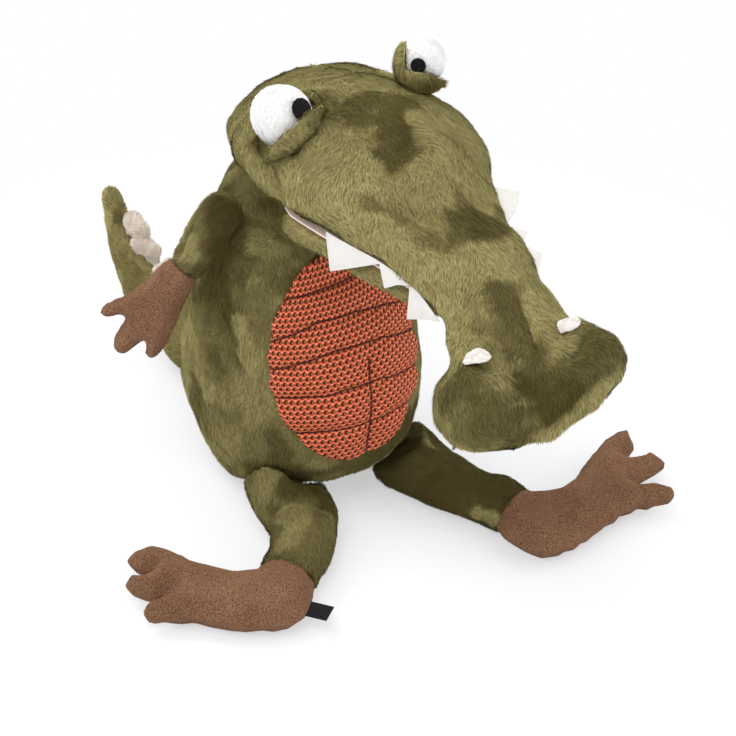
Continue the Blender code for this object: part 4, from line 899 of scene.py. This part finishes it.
def makeNostrils():
    style = nostrilStyle
    for word in ("right", "left"):
        patch = softForm("nostril_felt_" + word, ("nostril_" + word,),
                         style["voxel"], style["rounds"], "gathered")
        points, normals = readPoints(patch.data), readNormals(patch.data)
        away = (points - points.mean(axis=0)) / mm
        tail = unit(style[word]["tail"])
        along = away @ tail
        far = smooth(along, 0.4 * style["radius"], 1.05 * style["radius"]) * style[word]["stretch"]
        away += far[:, None] * (4.0 * tail - 0.65 * (away - along[:, None] * tail))
        away = away * style["plump"] + style["raise"] * np.array(style["out"])
        turn = np.arctan2(away @ np.cross(tail, (0, -0.5, 0.85)), along)
        ring = np.linalg.norm(away, axis=1) / style["radius"]
        fold = style["foldDepth"] * np.sin(turn * style["folds"] + 1.5 * np.sin(turn * 4))
        fold = fold * smooth(ring, 0.1, 0.6) - style["pit"] * bell(ring, style["pitWidth"])
        writePoints(patch.data, points.mean(axis=0) + (away + normals * fold[:, None]) * mm)
        place(patch, "head", ("nostril_" + word,))


# Eyes

eyeStyle = {
    "right": {
        "centre": (-43, -66, 273), "radius": 16.5, "look": (0.216, -0.82, 0.53),
        "pupil": 5.7, "pressed": 0.22},
    "left": {
        "centre": (43, -62, 283), "radius": 13.0, "look": (-0.63, -0.74, 0.22),
        "pupil": 3.9, "pressed": 0.1},
    "pile": strandsOf(5.0, 2.4, 0.36, 0.25, 0.22, 0.08),
    "lidPile": strandsOf(3.0, 3.6, 0.45, 0.35, 0.25, 0.1),
    "lidSpots": ((0.7, 9, ((40, -75, 276), (48, -72, 276))),), "fill": 0.9, "lidFill": 0.4,
    "margin": 0.6, "raise": 1.5, "press": (0.42, -0.68, -0.58),
    "ballVoxel": 1.1, "pupilVoxel": 0.3, "lidVoxel": 0.8,
}


def makeEyes():
    style = eyeStyle
    for word in ("right", "left"):
        own = style[word]
        centre, look = np.array(own["centre"]) * mm, unit(own["look"])
        ball = softForm("eye_ball_" + word, ("eye_" + word,), style["ballVoxel"], 5, "whiteBacking")
        shapeCloth(ball, sink=1.0, unevenness=0.15, seed=18)

        def bare(points, normals):  # nothing grows under the pupil
            away = points - centre
            lean = np.arccos(np.clip(away @ look / np.linalg.norm(away, axis=1), -1, 1))
            return (lean * own["radius"] > own["pupil"] + style["margin"]).astype(float)

        brush(ball, (0.0, 0.0, -1.0), mottle=0.0, swirl=0.8, seed=19, bare=bare)
        nap = grow(ball, "eye_nap_" + word, seed=6, finish="whitePile", **style["pile"])
        place(nap, "head")
        place(ball, "head", ("eye_" + word,))
        pupil = softForm("pupil_felt_" + word, ("pupil_" + word,), style["pupilVoxel"], 3, "blackFelt")
        writePoints(pupil.data, readPoints(pupil.data) + look * style["raise"] * mm)
        place(pupil, "head", ("pupil_" + word,))
        lid = softForm("lid_coat_" + word, ("eyelid_" + word,), style["lidVoxel"], 3, "backing")
        points = readPoints(lid.data)
        down = unit(style["press"])
        sunk = (points @ down).max() - points @ down
        writePoints(lid.data, points + down * sunk[:, None] * own["pressed"])
        shapeCloth(lid, sink=0.5, unevenness=0.2, seed=22)
        brush(lid, (0.0, -0.6, -0.8), spots=style["lidSpots"], seed=23, swirl=0.4)
        nap = grow(lid, "lid_nap_" + word, seed=8, finish="pile", **style["lidPile"])
        place(nap, "head")
        place(lid, "head", ("eyelid_" + word,))


# Arms and hands, legs and feet

limbStyle = {
    "coat": {
        "voxel": 1.7, "rounds": 6, "sink": 0.3, "unevenness": 0.5, "seed": 29, "naps": 1, "fill": 0.6,
        "pile": strandsOf(3.6, 4.0, 0.44, 0.22, 0.15, 0.08)},
    "suedeVoxel": 1.15, "suedeRounds": 3, "suedeFill": 0.6, "suedeUnevenness": 0.35, "edge": 0.15,
    # shade and spots paint shade on each limb, deepest at the shoulder and in the folds; spots below 0 are
    # painted highlight
    "arm_right": {
        "heading": (-0.62, 0.08, -0.75), "shade": 0.6, "mottle": 0.2,
        "spots": ((0.95, 7, ((-54, -12, 200), (-57, -18, 192), (-58, -20, 184), (-60, -21, 176))),
                  (-0.15, 4, ((-60, -2, 203), (-68, -1, 194), (-75, -1, 182))),
                  (0.2, 6, ((-72, -13, 179), (-74, -13, 173)))),
        "creases": (
            (((-55, -8, 203), (-63, -9, 197), (-68, -8, 190), (-73, -8, 182), (-78, -8, 172)), 2.6, 1.8),),
        "pulls": ((-50, -6, 203, 11, 4, 6, -5),)},
    "arm_left": {
        "heading": (0.62, 0.08, -0.75), "shade": 0.5, "mottle": 0.2,
        "spots": ((0.6, 9, ((60, -18, 190), (58, -14, 197))),),
        "creases": (
            (((55, -8, 203), (63, -9, 197), (68, -8, 190), (73, -8, 182), (78, -8, 172)), 2.6, 1.8),),
        "pulls": ((50, -6, 203, 11, -4, 6, -5),)},
    "leg_right": {
        "heading": (-0.4, -0.9, -0.15), "shade": 0.6, "mottle": 0.08,
        "spots": ((0.35, 8, ((-56, -34, 23), (-58, -52, 29), (-60, -62, 26), (-50, -50, 38), (-46, -56, 40))),
                  (0.9, 7, ((-46, -66, 39), (-40, -71, 38), (-33, -75, 35), (-30, -81, 32), (-28, -88, 26))),
                  (0.5, 5, ((-30, -92, 24), (-31, -98, 14), (-36, -84, 34))),
                  (0.3, 8, ((-54, -79, 30), (-46, -83, 34), (-56, -91, 26), (-62, -96, 22)))),
        "creases": (
            (((-60, -70, 26), (-56, -74, 31), (-49, -76, 35), (-42, -81, 35), (-32, -86, 30)), 3.2, 3.5),),
        "pulls": ((-43, -48, 39, 14, 2.3, 4.4, 7.6), (-25, -64, 34, 11, -5.0, 4, 1))},
    "leg_left": {
        "heading": (0.4, -0.9, -0.15), "shade": 0.85, "mottle": 0.1,
        "spots": ((-0.1, 6, ((48, -40, 28), (47, -57, 39), (50, -68, 39))),
                  (0.1, 5, ((60, -131, 12), (54, -124, 14), (48, -115, 12)))),
        "creases": ((((24, -74, 34), (34, -84, 31), (50, -82, 30)), 1.8, 4),),
        "pulls": ((57, -64, 34, 16, -2, -4, -7.5), (66, -84, 32, 10, -0.8, -1.4, -2.5),
            (80, -106, 26, 11, 1, 1.8, 3.5))},
    "foot_left": (
        (157, -93, 21, 13, 6.5, -3.5, 0), (140, -98, 14, 20, 6, -3.3, 0), (118, -114, 12, 13, 2, -1, 0),
        (186, -116, 12, 16, 2, -1, 0), (186, -150, 10, 18, 3.5, -2, 0)),
    "label": (-3.6, 2.0, 0.2),
}


def makeLimbs():
    for limb, side in (("arm", "right"), ("arm", "left"), ("leg", "right"), ("leg", "left")):
        name = limb + "_" + side
        style = {**limbStyle["coat"], **limbStyle[name]}
        makeCoat(name + "_coat", (name, "%s_stuffing_%s" % (limb, side)), name, style, style["heading"])
        end = {"arm": "hand", "leg": "foot"}[limb] + "_" + side
        skin = softForm(end + "_suede", (end,), limbStyle["suedeVoxel"], limbStyle["suedeRounds"], "suede")
        pull(skin, limbStyle.get(end, ()))
        shapeCloth(skin, unevenness=limbStyle["suedeUnevenness"], seed=31)
        place(skin, name, (end,))
    ribbon = softEdged("label_ribbon", "label_tab", limbStyle["edge"], "ribbon")
    writePoints(ribbon.data, readPoints(ribbon.data) + np.array(limbStyle["label"]) * mm)
    place(ribbon, "leg_right", ("label_tab",))


# Tail

tailStyle = {
    # shade is painted shade over the whole coat
    "voxel": 2.0, "rounds": 6, "sink": 0.3, "unevenness": 0.5, "seed": 37, "shade": 0.5, "mottle": 0.35,
    "naps": 1, "fill": 0.6, "heading": (0.0, 1.0, 0.2), "spikeVoxel": 0.9, "spikeFill": 0.6,
    "pile": strandsOf(2.8, 4.0, 0.5, 0.22, 0.15, 0.08),
    "creases": ((((-23, 233, 77), (-23, 220, 72), (-22, 208, 66), (-25, 192, 61), (-30, 175, 56),
        (-30, 150, 46)), 1.6, 2.5),),
    # patches of tone: the top less shaded, painted shade deepest on the lower part
    "spots": (
        (0.0, 9, ((-30, 239, 72), (-34, 226, 68), (-38, 213, 62))),
        (0.6, 8, ((-38, 179, 54), (-38, 168, 50), (-39, 157, 45))),
        (0.5, 6, ((-19, 214, 65), (-22, 190, 58), (-24, 173, 54)))),
    "fleece": strandsOf(5.0, 2.0, 0.4, 0.8, 0.8, 0.3),
    "fold": (0.05, -0.92, -0.38), "foldLength": 1.5, "foldWiden": 0.95, "foldTaper": 0.55, "foldCorners": 0.2,
}


def makeTail():
    style, fold = tailStyle, np.array(tailStyle["fold"])
    makeCoat("tail_coat", ("tail", "tail_stuffing"), "tail", style, style["heading"])
    for k in range(1, 6):
        knob = softForm("spike_fleece_%d" % k, ("tail_spike_%d" % k,),
                        style["spikeVoxel"], 2, "fleeceBacking")
        points = readPoints(knob.data)
        middle = points.mean(axis=0)
        along = (points - middle) @ fold
        wide = style["foldWiden"] - style["foldTaper"] * along / np.abs(along).max()
        away = points - middle - along[:, None] * fold
        turn = np.arctan2(away @ np.cross((1, 0, 0), fold), along)
        corners = 1 + style["foldCorners"] * np.cos(3 * turn + 2 * k)
        folded = along[:, None] * fold * style["foldLength"] + away * wide[:, None]
        writePoints(knob.data, middle + folded * corners[:, None])
        shapeCloth(knob, unevenness=1.0, seed=40 + k)
        brush(knob, (0.0, 0.0, -1.0), swirl=1.2, mottle=0.4, seed=41)
        nap = grow(knob, "spike_nap_%d" % k, seed=k, finish="fleece", **style["fleece"])
        place(nap, "tail")
        place(knob, "tail", ("tail_spike_%d" % k,))


makeBelly()
makeBody()
makeHead()
makeMouth()
makeTeeth()
makeNostrils()
makeEyes()
makeLimbs()
makeTail()
print("toy dressed")


# Studio

studio = {
    "camera": (-488.7, -961.1, 791.0), "aim": (-6.3, -91.0, 120.0), "lens": 106.7, "sensor": 36.0,
    "sky": 0.93, "floor": tint("f6f7fa"), "floorHalf": 6, "floorTop": -0.0006,
    "clearFrom": 0.2, "clearTo": 0.42,  # metres from the toy where the floor turns white
    "lampAim": (0, -0.08, 0.15),
    "lamps": (("keyLamp", (-0.9, -0.9, 1.9), 1.2, 13.0), ("fillLamp", (1.5, -0.6, 1.2), 1.4, 7.3),
              ("backLamp", (-0.7, 1.3, 1.8), 1.4, 19.0)),  # place, size and power
}


def stand(name, data, at, aim):
    made = linked(name, data)
    made.location = at
    made.rotation_euler = (Vector(aim) - made.location).to_track_quat("-Z", "Y").to_euler()
    return made


def makeStudio():
    scene = bpy.context.scene
    mesh = bpy.data.meshes.new("floor")
    corners = [(x * studio["floorHalf"], y * studio["floorHalf"], studio["floorTop"])
               for x, y in ((-1, -1), (1, -1), (1, 1), (-1, 1))]
    mesh.from_pydata(corners, [], [(0, 1, 2, 3)])
    floor = linked("floor", mesh)
    made, r = newFinish("paleFloor")
    path = r.add("ShaderNodeLightPath")
    seen = path.math("MAXIMUM", path, path.out("Is Glossy Ray"))
    paper = r.add("ShaderNodeBsdfDiffuse", {"Color": studio["floor"], "Roughness": 0.5})
    glow = r.add("ShaderNodeEmission", {"Color": white, "Strength": 1.0})
    here = r.add("ShaderNodeTexCoord", out="Object")
    far = r.add("ShaderNodeVectorMath", {0: here}, {"operation": "LENGTH"}, "Value")
    share = seen * (0.5 + 0.5 * far.fade(studio["clearFrom"], studio["clearTo"]))
    blend = r.add("ShaderNodeMixShader", {0: share, 1: paper, 2: glow})
    r.add("ShaderNodeOutputMaterial", {0: blend})
    floor.data.materials.append(made)

    world = bpy.data.worlds.new("studioAir")
    scene.world = world
    world.use_nodes = True
    world.node_tree.nodes.clear()
    w = Recipe(world.node_tree)
    path = w.add("ShaderNodeLightPath")
    shiny = path.math("MAXIMUM", path.out("Is Glossy Ray"), path.out("Is Transmission Ray"))
    seen = path.math("MAXIMUM", path, shiny)
    air = w.add("ShaderNodeBackground", {"Color": white, "Strength": studio["sky"]})
    bright = w.add("ShaderNodeBackground", {"Color": white, "Strength": 1.0})
    blend = w.add("ShaderNodeMixShader", {0: seen, 1: air, 2: bright})
    w.add("ShaderNodeOutputWorld", {0: blend})

    for name, at, size, power in studio["lamps"]:
        data = bpy.data.lights.new(name, "AREA")
        data.shape, data.size, data.energy = "DISK", size, power
        stand(name, data, at, studio["lampAim"])

    data = bpy.data.cameras.new("camera")
    data.lens, data.sensor_width = studio["lens"], studio["sensor"]
    data.clip_start, data.clip_end = 0.01, 50.0
    scene.camera = stand("camera", data, Vector(studio["camera"]) * mm, Vector(studio["aim"]) * mm)
    scene.view_settings.view_transform = "Standard"


makeStudio()
print("studio made")
